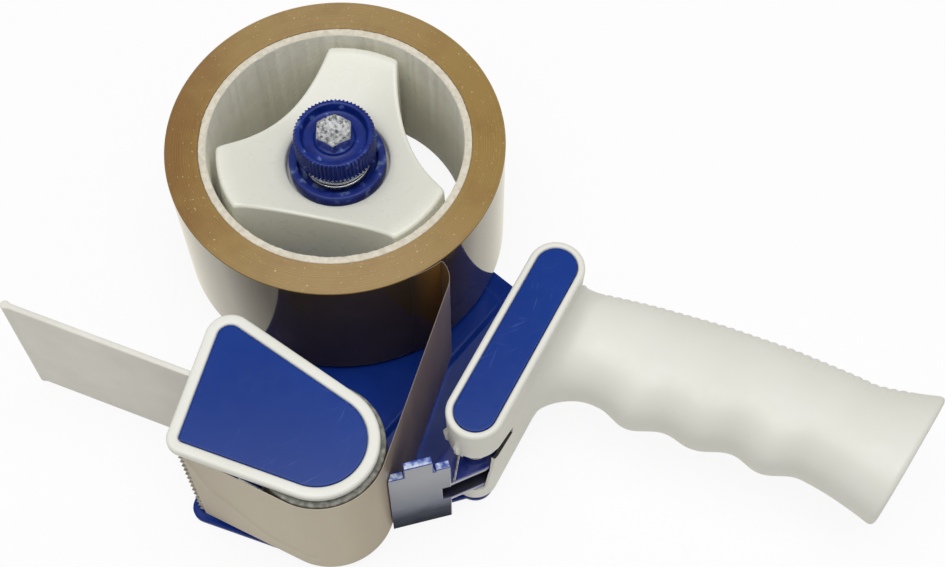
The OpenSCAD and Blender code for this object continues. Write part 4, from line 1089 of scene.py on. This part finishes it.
block_r, block_low, block_high, block_draft = 8.2, 6.0, 57.0, 1.4
block_plan = [(*lever_pin_at, block_r), (*block_far, block_r)]
block_rise = []
for z, d in foot_edge(block_low, 0.7) + [(20, 0), (38, 0), (52, 0)]:
    block_rise.append((z, d + block_draft * (block_high - z) / (block_high - block_low)))
block_rise += head_edge(block_high, 1.0, 0, 6)[:-1]
block_rise += [(block_high, 1.5), (56.9, 1.78), (56.6, 1.98), (56.2, 2.08), (55.4, 2.1), (55.4, 2.5)]
handle = slab("handle_moulding", block_plan, block_rise, handle_ivory, 4)
grip_rings = [grip_ring(s) for s in (-3.0, 0.0)] + [grip_ring(1.0 + 0.43 * i) for i in range(237)]
for a in (0.0, 0.4, 0.8, 1.2, math.pi / 2):
    grip_rings.append(grip_ring(grip_l - 2 + 2 * math.sin(a), 2 * (1 - math.cos(a))))
grip_rings += [grip_ring(grip_l, 2.75), grip_ring(grip_l - 0.2, 2.8), grip_ring(grip_l - 4, 2.8)]
grip = skin("grip", grip_rings, handle_ivory, sharp=50)
foot_r = 3.6
foot_plan = [(*by_block(10, 0, 0)[:2], foot_r), (*block_far, foot_r)]
foot = slab("foot", foot_plan, [(plate_t, 0.2), (plate_t + 0.2, 0), (7.5, 0)], handle_ivory)
clip_root = 7.2
clip_section = [(0, -0.75), (1.8, -0.45), (1.8, 0.45), (0, 0.75)]
clip_taper = [(40.3, 0.35), (41.5, 0.75), (46.5, 1.0), (48.5, 0.2)]
clips = []
for turn in (-168, -130):
    by_clip = set_at(lever_pin_at, math.radians(turn))
    clip_rings = [[by_clip(clip_root + reach * f, w, z) for reach, w in clip_section] for z, f in clip_taper]
    clips.append(skin("clip", clip_rings, handle_ivory))
combine(handle, [grip, foot] + clips, "UNION", 50)


def box_of(low, high, place, finish):
    """A square tool between two corners in a piece's own frame."""
    (x0, y0, z0), (x1, y1, z1) = low, high
    corners = [(x0, y0), (x1, y0), (x1, y1), (x0, y1)]
    return prism("box", corners, (z0, z1), place, finish)


slot_r, slot_low, slot_high, past_block = 6.6, 13.6, 40.0, 17
slit = [
    (-past_block, slot_low), (-4.2, slot_low), (-2.2, 31.6), (-2.2, 34.4), (8.5, 31.0),
    (8.5, 35.4), (-2.2, 41.5), (-past_block, 41.5),
]
hollow_from, hollow_to = (-3.0, -6.1, 22.0), (8.3, -0.3, 39.0)
slot_cuts = [
    peg(lever_pin_at, slot_r, slot_low, slot_high, handle_ivory, 64),
    box_of((-past_block, -0.05, slot_low), (1.5, past_block, slot_high), by_block, handle_ivory),
    prism("slit", slit, (-past_block, 0), on_edge(by_block), handle_ivory),
    box_of(hollow_from, hollow_to, by_block, handle_ivory),
]
combine(handle, slot_cuts, "DIFFERENCE", 50)
# The faces of the hollow behind the slit are painted dark grey: painted shade in the deep hollow.
hollow = PieceFinish("painted shade in the handle's hollow")
hollow.paint((500, 4), (0.3, 50, 49, 46), (0.7, 78, 76, 70))
hollow.fix("Roughness", 0.85)


def in_hollow(face):
    """Whether a face of the handle lies in the hollow behind the slit."""
    out = face.center.xy * 1000 - Vector(lever_pin_at)
    c, s = math.cos(block_turn), math.sin(block_turn)
    at = (out.x * c + out.y * s, out.y * c - out.x * s, face.center.z * 1000)
    return all(low - 0.1 < value < high + 0.1 for low, value, high in zip(hollow_from, at, hollow_to))


# The faces of the hollow get the painted shade.
refinish(handle, hollow, in_hollow)
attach(handle, "frame")
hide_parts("handle")
dress("grip_end_plug", handle_ivory)

# Handle inlay: a blue moulded strip with round ends, pressed into the block's top.
# It covers the hollow of the block and its screws.
strip_gap = 2.22
strip_levels = foot_edge(55.42, 0.1, strip_gap) + head_edge(56.8, 0.25, strip_gap)
handle_inlay = slab("handle_inlay_strip", block_plan, strip_levels, inlay_blue, 4)
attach(handle_inlay, "frame")
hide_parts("handle_inlay")

# Tape lever: a blue moulding with a flat front wall and two ears on the pin, which keeps the tape on the roller.
# Its wall has tabs at the top and a window for the spring's leg, and it swings in the block's slot.
lever_blue = PieceFinish("glossy blue lever moulding")
lever_blue.paint((100, 4), (0.3, 14, 36, 124), (0.7, 24, 50, 148))
lever_blue.gloss((300, 4), 0.12, 0.24)
lever_blue.relief((800, 3), 0.08, 0.0001)
lever_blue.fix("Coat Weight", 1.0)
lever_blue.fix("Coat IOR", 1.7)
lever_blue.fix("Coat Roughness", 0.12)
# The front of the wall is painted pale grey at the top, going to dark navy at its foot: a painted reflection of
# the floor, with painted shade low down.
wall_reflection_paint = PieceFinish("painted reflection on the lever wall")
height = wall_reflection_paint.spread(place_along(wall_reflection_paint, "Z"), 0.0, 0.044)
painted_reflection = wall_reflection_paint.join(height, wall_reflection_paint.spread((160, 4), 0.3, 0.7, -0.02, 0.02), "ADD")
wall_reflection_paint.paint(painted_reflection, (0.07, 34, 40, 62), (0.22, 78, 83, 100), (0.4, 148, 152, 164), (0.85, 188, 191, 196))
wall_reflection_paint.gloss((300, 3), 0.5, 0.6)
wall_reflection_paint.fix("Specular IOR Level", 0.04)
# The upward faces of the tabs are painted whitish blue: a painted highlight of glare on them.
tab_glare = PieceFinish("painted glare on the tab tops")
tab_glare.paint((420, 5), (0.4, 40, 66, 160), (0.5, 128, 150, 205), (0.6, 208, 218, 236))
tab_glare.fix("Roughness", 0.4)
# The top face of the lower ear is painted near-black navy: painted shade in the deep gap between the ears.
lower_ear_shade = PieceFinish("painted shade on the lower ear")
ear_shade_grain = lower_ear_shade.grain(400, 4)
lower_ear_shade.paint(ear_shade_grain, (0.3, 10, 13, 26), (0.7, 20, 25, 52))
lower_ear_shade.gloss(ear_shade_grain, 0.4, 0.6)


def sheet_of(name, outline, levels, place, finish, edge):
    """A flat piece from its outline, between two levels, with its edges rounded."""
    piece = prism(name, outline, levels, place, finish)
    soft = bmesh.new()
    soft.from_mesh(piece.data)
    sharp = [e for e in soft.edges if len(e.link_faces) == 2 and e.calc_face_angle(0) > math.radians(25)]
    rounding = {"segments": 3, "affect": "EDGES", "profile": 0.5, "clamp_overlap": True}
    bmesh.ops.bevel(soft, geom=sharp, offset=0.001 * edge, **rounding)
    soft.to_mesh(piece.data)
    soft.free()
    piece.data.shade_smooth()
    piece.data.set_sharp_from_angle(angle=math.radians(38))
    return piece


lever_turn = math.radians(14.6)
by_lever = set_at(lever_pin_at, lever_turn)
wall_front, wall_back = -8.15, -5.75
wall_line = [
    (-28.3, 1.0), (-9.1, 1.0), (-9.1, 16.8), (-11.7, 16.8), (-11.7, 25.3), (-9.1, 25.3), (-9.1, 41.0),
    (-13.4, 41.0), (-13.4, 40.0), (-14.1, 40.0), (-14.1, 47.0), (-22.3, 47.0), (-22.3, 41.0), (-28.3, 41.0),
]
ear_t, ear_tops = 2.0, (16.6, 28.0)
ear_line = band_round([(0, 0, 6.4), (-20.8, -7.65, 0.5), (-9.6, -7.65, 0.5)], 0, 6)
lever = sheet_of("tape_lever_moulding", wall_line, (wall_front, wall_back), on_edge(by_lever), lever_blue, 0.3)
ears = [sheet_of("ear", ear_line, (z - ear_t, z), by_lever, lever_blue, 0.2) for z in ear_tops]
combine(lever, ears, "UNION")
roller_room_r, pin_hole_r = 18.9, 2.06
lever_cuts = [
    peg(roller_axis, roller_room_r, -2, 60, lever_blue, 128), peg(lever_pin_at, pin_hole_r, -2, 60, lever_blue)
]
combine(lever, lever_cuts, "DIFFERENCE")
wall_out = Vector((math.sin(lever_turn), -math.cos(lever_turn), 0))
pin_foot = Vector((*lever_pin_at, 0))


def on_wall_front(face):
    """Whether a face of the lever is on the front of its wall."""
    return face.normal.dot(wall_out) > 0.97 and (face.center * 1000 - pin_foot).dot(wall_out) > 8.0


# The front of the wall gets the painted reflection.
refinish(lever, wall_reflection_paint, on_wall_front)
# The tab tops get the painted highlight.
refinish(lever, tab_glare, lambda face: face.normal.z > 0.97 and face.center.z > 0.0405)
# The top face of the lower ear gets the painted shade.
refinish(lever, lower_ear_shade, lambda face: face.normal.z > 0.9 and 0.0162 < face.center.z < 0.0168)
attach(lever, "lever")
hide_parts("tape_lever")

# Lever spring: a torsion spring of plated wire round the pin.
# Its tail bears on the block and its leg on the edge of the lever's wall.
curl_r, curl_low, curl_rise, curl_end = 3.7, 30.2, 6.8, 153
curl_wire_r, leg_l = 0.45, 11.2
curls = 4 + (curl_end - 90) / 360
curl_steps = 170
curl = [(x, curl_r, curl_low) for x in (4.2, 3.2, 2.2, 1.1)]
for i in range(curl_steps + 1):
    a = math.radians(90 + 360 * curls * i / curl_steps)
    curl.append((curl_r * math.cos(a), curl_r * math.sin(a), curl_low + curl_rise * i / curl_steps))
leg_start = curl[-1]
leg = (-math.sin(math.radians(curl_end)), math.cos(math.radians(curl_end)), -0.55)
curl += [tuple(p + leg_l * f * q for p, q in zip(leg_start, leg)) for f in (0.15, 0.4, 0.7, 1.0)]
lever_spring = wire("lever_coil", [by_lever(*p) for p in curl], curl_wire_r, bright_zinc)
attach(lever_spring, "lever")
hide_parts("lever_spring")
